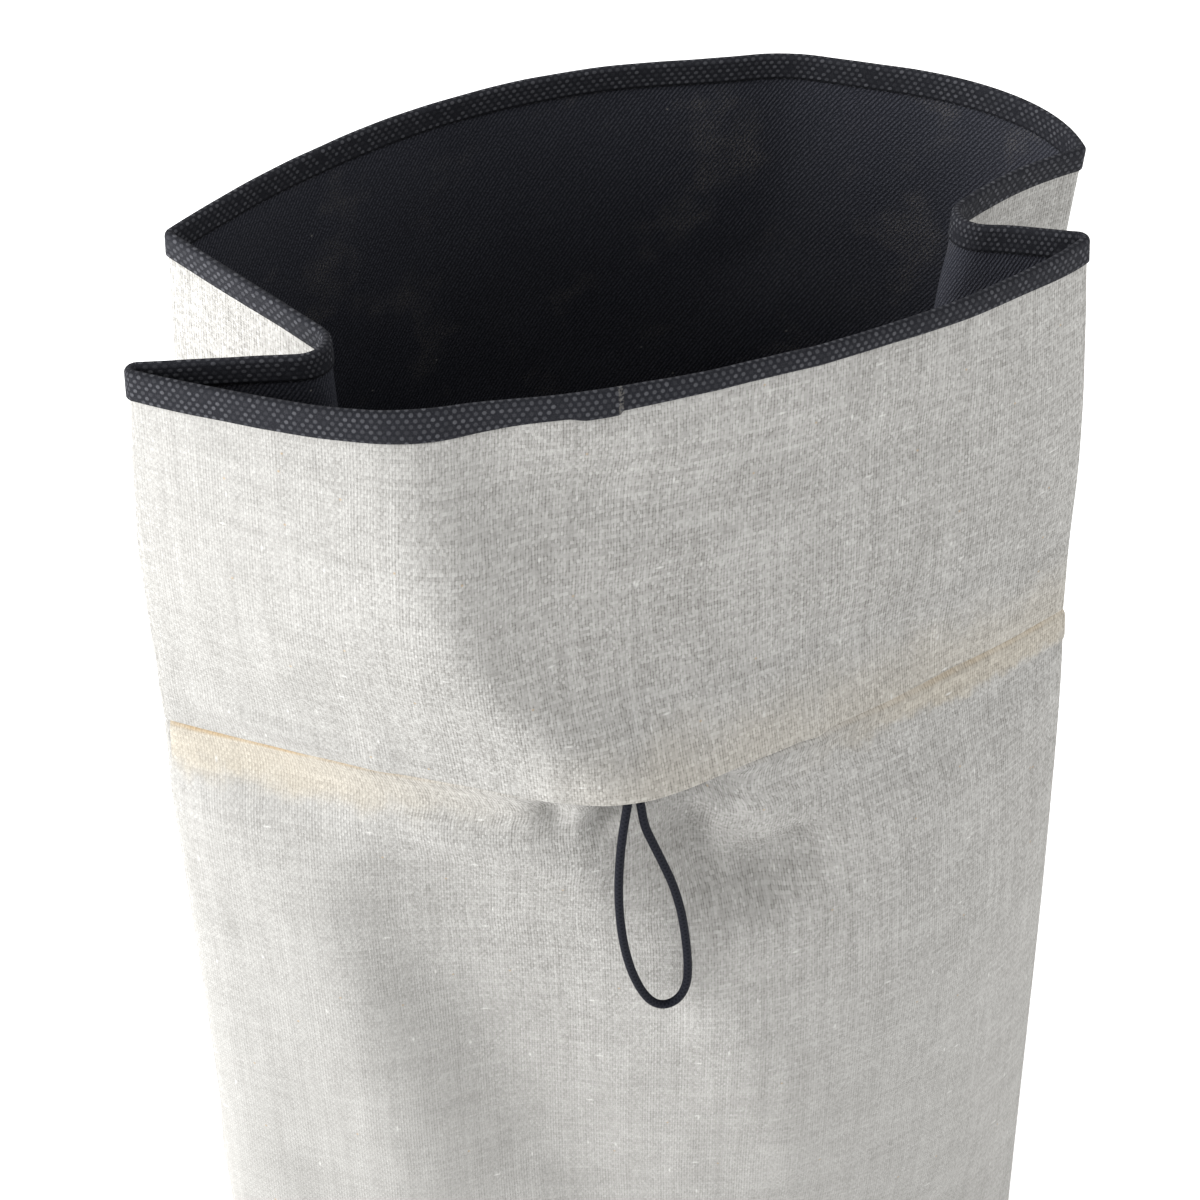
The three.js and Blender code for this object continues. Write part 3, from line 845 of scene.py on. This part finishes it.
class PlainWeave(GroupMaker):
    """Uneven threads over and under each other, with small holes between them."""

    NAME = "Plain weave"
    INPUTS = {"Place": None, "Warp pitch": 0.001, "Weft pitch": 0.001, "Wander": 0.0006}
    OUTPUTS = ("Tone", "Hole", "Groove", "Height")
    ACROSS = 240.0
    ALONG = 26.0

    @classmethod
    def results(cls, g: Graph, given: dict[str, Value]) -> Sequence[Value]:
        """Build the threads' tones, the holes, the grooves between threads, and the relief."""
        u, v = g.split(given["Place"])
        drift = g.noise((u * cls.ACROSS, v * cls.ALONG), detail=0.0)
        sway = g.noise((u.scaled(cls.ALONG, 50.0), v * cls.ACROSS), detail=0.0)
        warp = (drift - 0.5).scaled(given["Wander"], u) / given["Warp pitch"]
        weft = (sway - 0.5).scaled(given["Wander"], v) / given["Weft pitch"]
        column, row = warp.floor(), weft.floor()
        warp_tone, weft_tone = cls.thread_tone(g, column, v, 0.0), cls.thread_tone(g, row, u, 9.0)
        warp_gap, weft_gap = warp.zigzag().ease(0.34, 0.04), weft.zigzag().ease(0.30, 0.03)
        slit = g.noise((g.math("ROUND", warp) * 5.7, v * 520.0), detail=0.0)
        open_slit = warp_gap * slit.ease(0.36, 0.66)
        over = (column + row).zigzag(1.0)
        crossing = g.add("ShaderNodeTexWhiteNoise", {"Vector": g.join(column, row)}, noise_dimensions="2D")
        tone = over.scaled(warp_tone - weft_tone, weft_tone)
        tone = (Value(g, crossing.outputs["Value"]) - 0.5).scaled(0.70, tone)
        hole = open_slit * weft_gap.scaled(0.5, 0.5)
        height = cls.crowns(u / given["Warp pitch"], v / given["Weft pitch"])
        return tone, hole, g.math("MAXIMUM", warp_gap, weft_gap), height

    @staticmethod
    def crowns(warp: Value, weft: Value) -> Value:
        """Give the height of the thread on top, without the threads' wander, which keeps the relief quick."""
        across, along = warp.zigzag(), weft.zigzag()
        over = (warp.floor() + weft.floor()).zigzag(1.0)
        return over.scaled(across - along, along) * 2.0

    @staticmethod
    def thread_tone(g: Graph, thread: Value, length: Value, kind: float) -> Value:
        """Give a thread's tone along its length, in long stretches with short spots."""
        stretch = g.noise((thread.scaled(7.31, kind), length * 30.0), detail=0.0)
        spot = g.noise((thread.scaled(3.77, kind), length * 330.0), detail=0.0)
        return (spot - stretch).scaled(0.5, stretch).ease(0.30, 0.70)


class StaggeredDots(GroupMaker):
    """Rows of small dots, each row shifted by half a step."""

    NAME = "Staggered dots"
    INPUTS = {"Place": None, "Step": 0.0022, "Row": 0.0015, "Size": 0.3}
    OUTPUTS = ("Dot",)

    @classmethod
    def results(cls, g: Graph, given: dict[str, Value]) -> Sequence[Value]:
        """Build the dots, each of its own strength."""
        u, v = g.split(given["Place"])
        line = v / given["Row"]
        index = line.floor()
        odd = g.math("MODULO", g.math("ABSOLUTE", index), 2.0)
        column = odd.scaled(0.5, u / given["Step"])
        across = g.math("FRACT", column) - 0.5
        up = (g.math("FRACT", line) - 0.5) * 0.7
        away = g.math("SQRT", across * across + up * up)
        dot = 1.0 - away.ease(given["Size"] * 0.55, given["Size"])
        uneven = g.noise((column.floor() * 3.7, index * 5.3))
        return (dot * uneven.ease(0.2, 0.75),)


class Specks(GroupMaker):
    """Scattered small specks, such as slubs in a yarn."""

    NAME = "Specks"
    INPUTS = {"Place": None, "Spacing": 0.006, "Size": 0.12, "Share": 0.3}
    OUTPUTS = ("Speck",)

    @classmethod
    def results(cls, g: Graph, given: dict[str, Value]) -> Sequence[Value]:
        """Build the specks, in some of the cells of a Voronoi texture."""
        cells = g.add("ShaderNodeTexVoronoi", {"Vector": given["Place"], "Scale": 1.0 / given["Spacing"]},
                      voronoi_dimensions="2D")
        colour = g.add("ShaderNodeSeparateColor", {"Color": Value(g, cells.outputs["Color"])})
        chosen = Value(g, colour.outputs["Red"]).below(given["Share"])
        near = 1.0 - Value(g, cells.outputs["Distance"]).ease(0.0, given["Size"])
        return (chosen * near,)


class Finish:
    """A material with a Principled shader, ready to take a finish's nodes."""

    def __init__(self, name: str, roughness: float, shine: float = 0.0) -> None:
        """Make the material.

        Args:
            name: The material's name.
            roughness: The shader's roughness.
            shine: The shader's specular level.
        """
        self.material = bpy.data.materials.new(name)
        self.material.use_nodes = True
        self.graph = Graph(self.material.node_tree)
        self.shader = self.material.node_tree.nodes["Principled BSDF"]
        self.shader.distribution = "GGX"
        self.shader.inputs["Roughness"].default_value = roughness
        self.shader.inputs["Specular IOR Level"].default_value = shine

    def dress(self, colour: Value, height: Value, relief: float) -> bpy.types.Material:
        """Feed the base colour, and the normal from a height.

        Args:
            colour: The base colour.
            height: The height, in shares of the relief.
            relief: The relief's depth.

        Returns:
            The finished material.
        """
        bump = self.graph.add("ShaderNodeBump", {"Height": height, "Distance": relief, "Strength": 1.0})
        self.graph.feed(self.shader.inputs["Base Color"], colour)
        self.graph.feed(self.shader.inputs["Normal"], Value(self.graph, bump.outputs["Normal"]))
        return self.material


@dataclass(frozen=True)
class LinenFinish:
    """Pale linen and cotton in plain weave, with slubs, and yellowed beside the seam."""

    dark: tuple = (0.110, 0.105, 0.095, 1.0)
    light: tuple = (0.450, 0.444, 0.428, 1.0)
    slub: tuple = (0.540, 0.535, 0.516, 1.0)
    tan: tuple = (0.350, 0.255, 0.150, 1.0)
    yellowed: tuple = (1.0, 0.925, 0.800, 1.0)
    seam_thread: tuple = (0.330, 0.220, 0.095, 1.0)
    warp_pitch: float = 0.00083
    weft_pitch: float = 0.00104
    wander: float = 0.0007
    tone: float = 0.650
    relief: float = 0.00008
    front_end: float = 0.292

    def material(self) -> bpy.types.Material:
        """Build the material."""
        finish = Finish("Linen", 0.92)
        g = finish.graph
        place, u, v = g.cloth_place()
        tone, hole, groove, height = PlainWeave.place(g, place, self.warp_pitch, self.weft_pitch, self.wander)
        # Painted light: the weave's dark holes and gaps are painted fainter over the brightly lit left of the front
        # panel, where light washes them out; they are also fainter low on the bag.
        painted_light_weave_contrast = u.ease(0.03, 0.12, 0.55, 1.0) * v.ease(0.08, 0.28, 0.5, 1.0)
        threads = groove.scaled(-0.04, hole.scaled(-0.44, (tone - 0.5) * 0.24))
        stain = self.stain(g, place, u, v)
        # Painted light: the cloth from 0.31 m up to 0.39 m is painted 0.05 lighter, as light from above would make
        # the top of the bag read; the stain term adds the yellowed cloth's own lighter tone.
        tone = v.ease(0.31, 0.39, self.tone, self.tone + 0.05) + stain * 0.17
        colour = g.mix(self.uneven_tone(g, place, u, v, threads.scaled(painted_light_weave_contrast, tone)), self.dark, self.light)
        colour = g.mix(stain, colour, g.mix(1.0, colour, self.yellowed, "MULTIPLY"))
        colour = g.mix(self.seam_line(g, u, v), colour, self.seam_thread)
        upright, = Specks.place(g, g.join(u, v * 0.35), 0.0085, 0.060, 0.18)
        level, = Specks.place(g, g.join(u * 0.3, v, 3.0), 0.0090, 0.058, 0.14)
        colour = g.mix(g.math("MAXIMUM", upright, level) * 0.8, colour, self.slub)
        tans, = Specks.place(g, place, 0.016, 0.035, 0.18)
        return finish.dress(g.mix(tans * 0.8, colour, self.tan), height, self.relief)

    @staticmethod
    def uneven_tone(g: Graph, place: Value, u: Value, v: Value, tone: Value) -> Value:
        """Make a tone uneven with soft clouds, level streaks and upright ladders of threads."""
        sagging = v.above(SEAM_HEIGHT).scaled(u * 0.09, v)
        clouds = g.noise(place, 60.0, 2.0, 0.6)
        streaks = g.noise((u * 9.0, sagging * 420.0), 1.0, 1.0, 0.6)
        ladders = g.noise((u * 420.0, v * 11.0), 1.0, 1.0, 0.6)
        brushed = v.ease(0.31, 0.39, 0.10, 0.18)
        for noise, weight in ((clouds, 0.16), (streaks, brushed), (ladders, 0.14)):
            tone = g.math("MULTIPLY_ADD", noise - 0.5, weight, tone, clamp=noise is ladders)
        return tone

    def stain(self, g: Graph, place: Value, u: Value, v: Value) -> Value:
        """Mask the yellowed cloth beside the seam on the front panel."""
        below = SEAM_HEIGHT - v
        edge = (g.noise(place, 70.0, 3.0, 0.65) - 0.5).scaled(0.016, below)
        under_left = edge.ease(0.019, 0.008) * u.ease(0.120, 0.030, 0.0, 0.85)
        under_right = edge.ease(0.011, 0.006) * u.ease(0.180, 0.240, 0.0, 0.75)
        under = below.above(0.0) * (under_left + under_right)
        over = below.below(0.0) * (edge.ease(-0.026, -0.002) * u.ease(0.100, 0.150, 0.0, 0.45))
        return g.math("ADD", over, under, clamp=True) * u.below(self.front_end)

    def seam_line(self, g: Graph, u: Value, v: Value) -> Value:
        """Mask the brown thread that shows in the seam."""
        below = SEAM_HEIGHT - v
        line = below.ease(0.0022, 0.0010) * below.above(0.0)
        worn = g.noise((u * 90.0, 0.0), detail=1.0).ease(0.3, 0.6, 0.35, 1.0)
        ends = g.math("ADD", u.ease(0.100, 0.030), u.ease(0.185, 0.250, 0.0, 0.3), clamp=True)
        return (line * worn) * (ends.scaled(0.62, 0.04) * u.below(self.front_end))


@dataclass(frozen=True)
class LiningFinish:
    """Black ribbed lining with faint dust."""

    cloth: tuple = (0.0140, 0.0150, 0.0200, 1.0)
    rib: tuple = (0.0560, 0.0580, 0.0700, 1.0)
    dust: tuple = (0.3000, 0.2700, 0.2300, 1.0)
    lint: tuple = (0.3000, 0.2900, 0.2700, 1.0)
    pitch: float = 0.0013
    slant: float = 0.55
    relief: float = 0.0002

    def material(self) -> bpy.types.Material:
        """Build the material."""
        finish = Finish("Lining", 0.9)
        g = finish.graph
        place, u, v = g.cloth_place()
        line = (v.scaled(self.slant, u) / self.pitch).zigzag()
        broken = g.noise(place, 1500.0, 0.0).ease(0.3, 0.65)
        height = g.math("SINE", line * math.pi) * broken.scaled(0.6, 0.4)
        patches = g.noise(place, 34.0, 3.0, 0.65).ease(0.52, 0.76)
        grains = g.noise(place, 1900.0, 1.0, 0.7).ease(0.42, 0.72)
        haze = g.noise(place, 9.0, 2.0, 0.6).ease(0.40, 0.72)
        powder = g.math("MAXIMUM", patches, haze * 0.22) * grains
        colour = g.mix(powder * 0.20, g.mix(height, self.cloth, self.rib), self.dust)
        lint, = Specks.place(g, place, 0.011, 0.045, 0.12)
        return finish.dress(g.mix(lint * 0.7, colour, self.lint), height, self.relief)


@dataclass(frozen=True)
class TapeFinish:
    """Black woven edge tape with rows of small raised loops, shown as dots with a painted highlight."""

    cloth: tuple = (0.0110, 0.0115, 0.0150, 1.0)
    # The dots' colour is a painted highlight on the raised loops.
    dot: tuple = (0.0860, 0.0880, 0.0980, 1.0)
    fray: tuple = (0.4200, 0.4000, 0.3600, 1.0)
    dot_step: float = 0.0022
    dot_row: float = 0.00155
    dot_size: float = 0.34
    fray_reach: float = 0.0010
    relief: float = 0.00025

    def material(self, lap: "TapeLap") -> bpy.types.Material:
        """Build the material.

        Args:
            lap: Where the tape's ends lap, for the frayed edge.
        """
        finish = Finish("Tape", 0.85, 0.12)
        g = finish.graph
        place, u, v = g.cloth_place()
        dot, = StaggeredDots.place(g, place, self.dot_step, self.dot_row, self.dot_size)
        fibres = g.noise(place, 3200.0, 2.0, 0.6)
        # Painted highlight: the raised loops are painted as lighter dots, as if they catch the light, and fine fibres
        # take up to a quarter of the same lighter colour; the loops' relief below is their real shape.
        colour = g.mix(dot * 0.75, self.cloth, self.dot)
        colour = g.mix(fibres.ease(0.5, 0.8, 0.0, 0.25), colour, self.dot)
        end = g.math("ABSOLUTE", u - lap.around)
        ragged = g.noise((0.0, v * 900.0), detail=3.0) * self.fray_reach
        frayed = (end - ragged).ease(0.0004, 0.0) * g.noise(place, 1400.0).ease(0.4, 0.6)
        return finish.dress(g.mix(frayed * 0.18, colour, self.fray), fibres.scaled(0.4, dot), self.relief)


@dataclass(frozen=True)
class CordFinish:
    """Black elastic cord with a fine braided cover."""

    cover: tuple = (0.0040, 0.0045, 0.0080, 1.0)
    strand: tuple = (0.0120, 0.0130, 0.0180, 1.0)
    braid_pitch: float = 0.0016
    strands_each_way: float = 4.0
    relief: float = 0.00008

    def material(self) -> bpy.types.Material:
        """Build the material."""
        finish = Finish("Elastic cord", 0.55, 0.05)
        g = finish.graph
        _, u, v = g.cloth_place()
        turn, climb = u * self.strands_each_way, v / self.braid_pitch
        braid = g.math("MAXIMUM", (climb + turn).zigzag(), (climb - turn).zigzag()) * 2.0
        return finish.dress(g.mix(braid.ease(0.4, 1.0), self.cover, self.strand), braid, self.relief)


@dataclass(frozen=True)
class TapeLap:
    """Where the tape's two ends lap on the front of the rim."""

    around: float = 0.1385
    step: float = 0.00045
    length: float = 0.014
    drop: float = 0.0008

    def raised(self, around: np.ndarray) -> np.ndarray:
        """Give how much of the lap's step shows at places round the rim."""
        inside = self.around - around
        return smoothstep(inside, -0.0002, 0.0004) * (1 - smoothstep(inside, self.length * 0.6, self.length))


def declare(piece: bpy.types.Object, material: bpy.types.Material, node: str) -> None:
    """Dress a piece, and say which body it rides on, which node it stands for.

    Args:
        piece: The piece.
        material: Its material.
        node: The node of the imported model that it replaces.
    """
    piece.data.materials.append(material)
    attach(piece, "root")
    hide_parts(node)
    LOG.info("%s stands for %s", piece.name, node)


@dataclass
class OuterCloth:
    """The linen outside of the bag: the band over the seam, the body under it, and the flat base."""

    form: BagForm
    row_step: float = 0.0020
    inside_step: float = 0.0044
    hem_drop: float = 0.0002
    hem_round: float = 0.0003
    rim_clearance: float = 0.0003
    seam_cover: float = 0.0008
    seam_rows: int = 14
    tuck_under: float = 0.0010
    allowance: float = 0.0105
    allowance_lift: float = 0.0006
    base_size: tuple[float, float] = (0.262, 0.136)
    base_clearance: float = 0.0002

    def upper(self) -> bpy.types.Object:
        """Build the band between the seam and the rim."""
        hem = SEAM_HEIGHT - self.hem_drop
        top = RIM_HEIGHT - TAPE - self.rim_clearance
        low = hem + 2 * self.hem_round
        rows = [(hem, self.hem_round), (hem + self.hem_round * 0.5, self.hem_round * 0.25)]
        rows += [(height, 0.0) for height in levels(low, top, self.row_step)]
        rows += [(height, CLOTH) for height in levels(low, top, self.inside_step)[::-1]]
        rings = [self.form.ring(height, depth, below_seam=False) for height, depth in [*rows, (hem, CLOTH)]]
        return Mesher.loft("linen_upper", rings, self.form.cloth_around(), closed=True)

    def lower_relief(self, ring: Ring, below: float) -> np.ndarray:
        """Give how far the body's cloth stands out over the seam allowance, at a distance below the seam."""
        right_part = smoothstep(ring.around, 0.150, 0.200) * (ring.around < 0.295)
        band = smoothstep(np.array(below), self.allowance + 0.0012, self.allowance - 0.0004)
        return self.allowance_lift * band * (0.25 + 0.75 * right_part)

    def lower_ring(self, height: float, depth: float) -> Ring:
        """Make a ring of the body's cloth, with the relief of the seam, turned in under the hem."""
        plain = self.form.ring(height, depth, below_seam=True)
        below = SEAM_HEIGHT - height
        if below > SEAM_ZONE:
            return plain
        turned = self.tuck_under * float(smoothstep(np.array(below), 0.0028, 0.0004))
        return self.form.shifted_in(plain, height, depth, True, turned - self.lower_relief(plain, below))

    def lower(self) -> bpy.types.Object:
        """Build the body from the base to the seam, turned in at its bottom edge."""
        seam_rows = np.linspace(SEAM_HEIGHT - SEAM_ZONE, SEAM_HEIGHT - self.seam_cover, self.seam_rows)
        faces = []
        for depth, step in ((0.0, self.row_step), (CLOTH, self.inside_step)):
            heights = [*levels(WALL_START, SEAM_HEIGHT - SEAM_DETAIL, step), *seam_rows,
                       SEAM_HEIGHT + self.seam_cover]
            faces.append(self.form.edge_rings(depth) + [self.lower_ring(height, depth) for height in heights])
        outside, inside = faces
        return Mesher.loft("linen_body", outside + inside[::-1], self.form.cloth_around(), closed=True)

    def base(self) -> bpy.types.Object:
        """Build the flat base inside the turned-in edge."""
        rings = [self.form.ring(height, BASE_EDGE_RADIUS + self.base_clearance) for height in (0.0, CLOTH)]
        return Mesher.loft("linen_base", rings, self.form.cloth_around(), closed=False, caps=True)

    def make(self, material: bpy.types.Material) -> None:
        around = self.form.cloth_around()
        for build, node, flat in ((self.upper, "outer_upper", (around, RIM_HEIGHT - SEAM_HEIGHT)),
                                  (self.lower, "outer_lower", (around, SEAM_HEIGHT)),
                                  (self.base, "base_panel", self.base_size)):
            piece = build()
            declare(piece, material, node)


@dataclass
class LiningCloth:
    """The black inner bag, with a bottom of its own."""

    form: BagForm
    inner_step: float = 0.0032
    outer_step: float = 0.0080
    pucker_step: float = 0.0020
    pucker_depth: float = 0.060
    seam_step: float = 0.001
    over_seam: float = 0.003
    under_rim: float = 0.0011
    bottom_share: float = 0.04

    def face(self, inset: float, step: float) -> list[Ring]:
        """Make the rings of one face of the lining, from its bottom to the rim."""
        puckered = SEAM_HEIGHT - self.pucker_depth
        low = [*levels(WALL_START, puckered - self.pucker_step, step),
               *levels(puckered, SEAM_HEIGHT - SEAM_DETAIL, self.pucker_step),
               *levels(SEAM_HEIGHT - SEAM_ZONE, SEAM_HEIGHT - self.seam_step, self.seam_step)]
        high = levels(SEAM_HEIGHT + self.over_seam, RIM_HEIGHT - self.under_rim, step)
        return (self.form.edge_rings(inset)
                + [self.form.ring(height, inset, below_seam=True) for height in low]
                + [self.form.ring(height, inset, below_seam=False) for height in high])

    def make(self, material: bpy.types.Material) -> None:
        outside = self.face(LINING_INSET, self.outer_step)
        inside = self.face(LINING_INSET + CLOTH, self.inner_step)
        around = self.form.cloth_around()
        piece = Mesher.loft("black_lining", outside + inside[::-1], around, closed=False, caps=True)
        declare(piece, material, "lining")


@dataclass
class RimTape:
    """The tape folded over the rim, its ends lapped on the front."""

    form: BagForm
    lap: TapeLap = TapeLap()
    side_depth: float = 0.0075
    inside_depth: float = 0.0082
    front_depths: Sequence[tuple[float, float]] = (
        (0.0, 0.0090), (0.15, 0.0088), (0.32, 0.0084), (0.42, 0.0064), (0.56, 0.0052), (0.70, 0.0050),
        (0.88, 0.0058), (1.0, 0.0075))
    leg_steps: int = 7
    arc_steps: int = 8
    tape_width: float = 0.019

    def outer_depth(self, ring: Ring) -> np.ndarray:
        """Give how far the outer leg reaches down at each point of the rim."""
        shares, depths = zip(*self.front_depths)
        front = sum((high - low) * smoothstep(ring.along, start, end) for start, end, low, high
                    in zip(shares, shares[1:], depths, depths[1:])) + depths[0]
        depth = np.where(ring.wall == Wall.FRONT.value, front, self.side_depth)
        depth = np.where(ring.wall == Wall.LEFT_FRONT.value, self.side_depth + (depths[0] - self.side_depth)
                         * smoothstep(ring.along, 0.5, 1.0), depth)
        return depth + self.lap.drop * self.lap.raised(ring.around)

    def rim(self, inset: float, below: float = 0.0) -> Ring:
        """Make a ring of the bag's form at the rim, or a distance below it."""
        return self.form.ring(RIM_HEIGHT - below, inset, below_seam=False)

    def hanging(self, inset: float, depth: np.ndarray | float, up: np.ndarray | float) -> Ring:
        """Make a ring that hangs at a depth below the rim.

        Args:
            inset: How far the ring lies inside the outer face.
            depth: The depth under the rim at each point.
            up: The place across the tape.

        Returns:
            The ring.
        """
        reach = 0.010
        ring, low = self.rim(inset), self.rim(inset, reach)
        share = np.reshape(np.broadcast_to(depth, len(ring.points)) / reach, (-1, 1))
        ring.points = ring.points + (low.points - ring.points) * share
        ring.up = np.broadcast_to(up, len(ring.points))
        return ring

    def make(self, material: bpy.types.Material) -> None:
        out = -TAPE_GAP - TAPE
        inside = LINING_INSET + CLOTH + TAPE_GAP + TAPE
        radius = (inside - out) / 2
        middle = (inside + out) / 2
        probe = self.rim(out)
        reach = self.outer_depth(probe)
        raised = self.lap.step * self.lap.raised(probe.around)
        legs = np.linspace(0, 1, self.leg_steps)
        faces = []
        for thick in (0.0, TAPE):
            arm = radius - thick
            outer = [reach + (radius - reach) * share for share in legs]
            inner = [radius + (self.inside_depth - radius) * share for share in legs]
            faces.append([self.hanging(out + thick, depth, radius - depth) for depth in outer]
                         + [self.hanging(middle - arm * math.cos(angle), radius - arm * math.sin(angle),
                                         radius * angle)
                            for angle in np.linspace(0, math.pi, self.arc_steps + 2)[1:-1]]
                         + [self.hanging(inside - thick, depth, math.pi * radius + depth - radius)
                            for depth in inner])
        outside, inner_face = faces
        for ring in outside[: self.leg_steps + self.arc_steps // 2]:
            self.form.shifted_in(ring, RIM_HEIGHT, out, False, -raised)
        piece = Mesher.loft("rim_tape", outside + inner_face[::-1], self.form.cloth_around(), closed=True)
        declare(piece, material, "binding")
        self.form.cloth_around()


@dataclass
class ElasticLoop:
    """The black elastic cord, both ends caught in the cross seam."""

    diameter: float = CORD_DIAMETER
    sides: int = 16
    ring_step: float = 0.0008
    stretch_steps: int = 12
    route: Sequence[tuple[float, float, float]] = (
        (-0.0287, -0.0986, 0.2738), (-0.0296, -0.0987, 0.267), (-0.0305, -0.0987, 0.259),
        (-0.0311, -0.0986, 0.250), (-0.0313, -0.0985, 0.241), (-0.0310, -0.0984, 0.232),
        (-0.0302, -0.0982, 0.223), (-0.0288, -0.0980, 0.214), (-0.0266, -0.0979, 0.205),
        (-0.0235, -0.0978, 0.197), (-0.0200, -0.0977, 0.1920), (-0.0160, -0.0976, 0.1905),
        (-0.0124, -0.0977, 0.1928), (-0.0104, -0.0978, 0.198), (-0.0101, -0.0979, 0.2055),
        (-0.0109, -0.0980, 0.216), (-0.0126, -0.0983, 0.228), (-0.0152, -0.0985, 0.239),
        (-0.0184, -0.0986, 0.2485), (-0.0213, -0.0987, 0.2565), (-0.0238, -0.0987, 0.264),
        (-0.0253, -0.0986, 0.2738))

    def centreline(self) -> np.ndarray:
        """Run a smooth curve through the route and space its points evenly."""
        points = np.array(self.route) - np.array([*PLAN_CENTRE, 0.0])
        knots = np.vstack([2 * points[0] - points[1], points, 2 * points[-1] - points[-2]])
        curve = [0.5 * (2 * b + (c - a) * t + (2 * a - 5 * b + 4 * c - d) * t * t + (3 * b - a - 3 * c + d) * t ** 3)
                 for a, b, c, d in zip(knots, knots[1:], knots[2:], knots[3:])
                 for t in np.linspace(0, 1, self.stretch_steps, endpoint=False)]
        curve = np.array([*curve, points[-1]])
        lengths = run_lengths(curve)
        even = np.linspace(0, lengths[-1], round(lengths[-1] / self.ring_step) + 1)
        return np.stack([np.interp(even, lengths, curve[:, k]) for k in range(3)], axis=1)

    def make(self, material: bpy.types.Material) -> None:
        line = self.centreline()
        tangent = np.gradient(line, axis=0)
        tangent /= np.linalg.norm(tangent, axis=1)[:, None]
        side = np.cross(tangent, np.array([0.0, 1.0, 0.0]))
        side /= np.linalg.norm(side, axis=1)[:, None]
        other = np.cross(tangent, side)
        angle = np.linspace(0, 2 * math.pi, self.sides, endpoint=False)
        lengths = run_lengths(line)
        spare = np.zeros(self.sides)
        rings = []
        for k, centre in enumerate(line):
            arm = np.cos(angle)[:, None] * side[k] + np.sin(angle)[:, None] * other[k]
            rings.append(Ring(centre + self.diameter / 2 * arm, angle / (2 * math.pi),
                              np.full(self.sides, lengths[k]), spare, spare))
        piece = Mesher.loft("elastic_loop", rings, 1.0, closed=False, caps=True)
        declare(piece, material, "cord_loop")


@dataclass
class Studio:
    """The pale floor, the soft light and the camera."""

    camera_place: tuple[float, float, float] = (-0.2044, -0.8244, 0.9294)
    camera_height_angle: float = 38.0
    camera_turn: float = -13.0
    view_angle: float = 19.37
    lit: tuple[float, float, float] = (0.0, 0.0, 0.25)
    key: tuple = ("Key light", (-2.0, 0.02, 0.62), 1.9, 118.0)
    fill: tuple = ("Fill light", (2.0, -0.35, 0.55), 1.6, 21.0)
    world_strength: float = 0.9
    floor_look: dict[str, object] = field(default_factory=lambda: {
        "Base Color": (0.93, 0.93, 0.93, 1.0), "Roughness": 1.0, "Specular IOR Level": 0.0,
        "Emission Color": (1.0, 1.0, 1.0, 1.0), "Emission Strength": 0.4})

    @staticmethod
    def stand(name: str, data: bpy.types.ID, place: np.ndarray, back: np.ndarray, right: np.ndarray
              ) -> bpy.types.Object:
        """Put a camera or a light in the scene.

        Args:
            name: The object's name.
            data: The camera or light.
            place: Where it stands.
            back: The direction away from what it faces, one long.
            right: The direction to its right, one long.

        Returns:
            The new object.
        """
        thing = bpy.data.objects.new(name, data)
        bpy.context.scene.collection.objects.link(thing)
        up = np.cross(back, right)
        thing.matrix_world = Matrix([[right[i], up[i], back[i], place[i]] for i in range(3)] + [[0, 0, 0, 1]])
        return thing

    def camera(self) -> None:
        """Set the camera at the photograph's viewing angle."""
        data = bpy.data.cameras.new("Camera")
        data.angle = math.radians(self.view_angle)
        up_angle, turn = math.radians(self.camera_height_angle), math.radians(self.camera_turn)
        back = np.array([math.sin(turn) * math.cos(up_angle), -math.cos(turn) * math.cos(up_angle),
                         math.sin(up_angle)])
        right = np.array([math.cos(turn), math.sin(turn), 0.0])
        place = np.array(self.camera_place) - np.array([*PLAN_CENTRE, 0.0])
        bpy.context.scene.camera = self.stand("Camera", data, place, back, right)

    def area_light(self, name: str, place: tuple, size: float, power: float) -> None:
        """Add a square soft light that faces the bag."""
        data = bpy.data.lights.new(name, "AREA")
        data.size = size
        data.energy = power
        back = np.array(place) - np.array(self.lit)
        back = back / np.linalg.norm(back)
        right = np.cross([0.0, 0.0, 1.0], back)
        self.stand(name, data, np.array(place), back, right / np.linalg.norm(right))

    def floor(self) -> None:
        """Lay a wide pale floor under the bag."""
        bpy.ops.object.select_all(action="DESELECT")
        bpy.ops.mesh.primitive_plane_add(size=12.0, location=(0.0, 0.0, 0.0))
        plane = bpy.context.active_object
        plane.name = "floor"
        material = bpy.data.materials.new("Floor")
        material.use_nodes = True
        for name, value in self.floor_look.items():
            material.node_tree.nodes["Principled BSDF"].inputs[name].default_value = value
        material.cycles.emission_sampling = "NONE"
        plane.data.materials.append(material)

    def world(self) -> None:
        """Surround the bag with even white light, seen a little brighter by the camera than it lights."""
        world = bpy.data.worlds.new("Studio")
        world.use_nodes = True
        g = Graph(world.node_tree)
        seen = Value(g, g.add("ShaderNodeLightPath").outputs["Is Camera Ray"])
        background = world.node_tree.nodes["Background"]
        background.inputs["Color"].default_value = (1.0, 1.0, 1.0, 1.0)
        g.feed(background.inputs["Strength"], seen.scaled(1.0 - self.world_strength, self.world_strength))
        world.cycles.sampling_method = "NONE"
        bpy.context.scene.world = world

    def make(self) -> None:
        """Build the whole studio."""
        self.camera()
        self.floor()
        self.area_light(*self.key)
        self.area_light(*self.fill)
        self.world()
        bpy.context.scene.view_settings.view_transform = "Standard"
        LOG.info("studio")


def main() -> None:
    """Build the bag piece by piece."""
    logging.basicConfig(level=logging.INFO, format="%(message)s")
    Studio().make()
    ElasticLoop().make(CordFinish().material())
    form = BagForm()
    OuterCloth(form).make(LinenFinish().material())
    LiningCloth(form).make(LiningFinish().material())
    tape = RimTape(form)
    tape.make(TapeFinish().material(tape.lap))


if __name__ == "__main__":
    main()
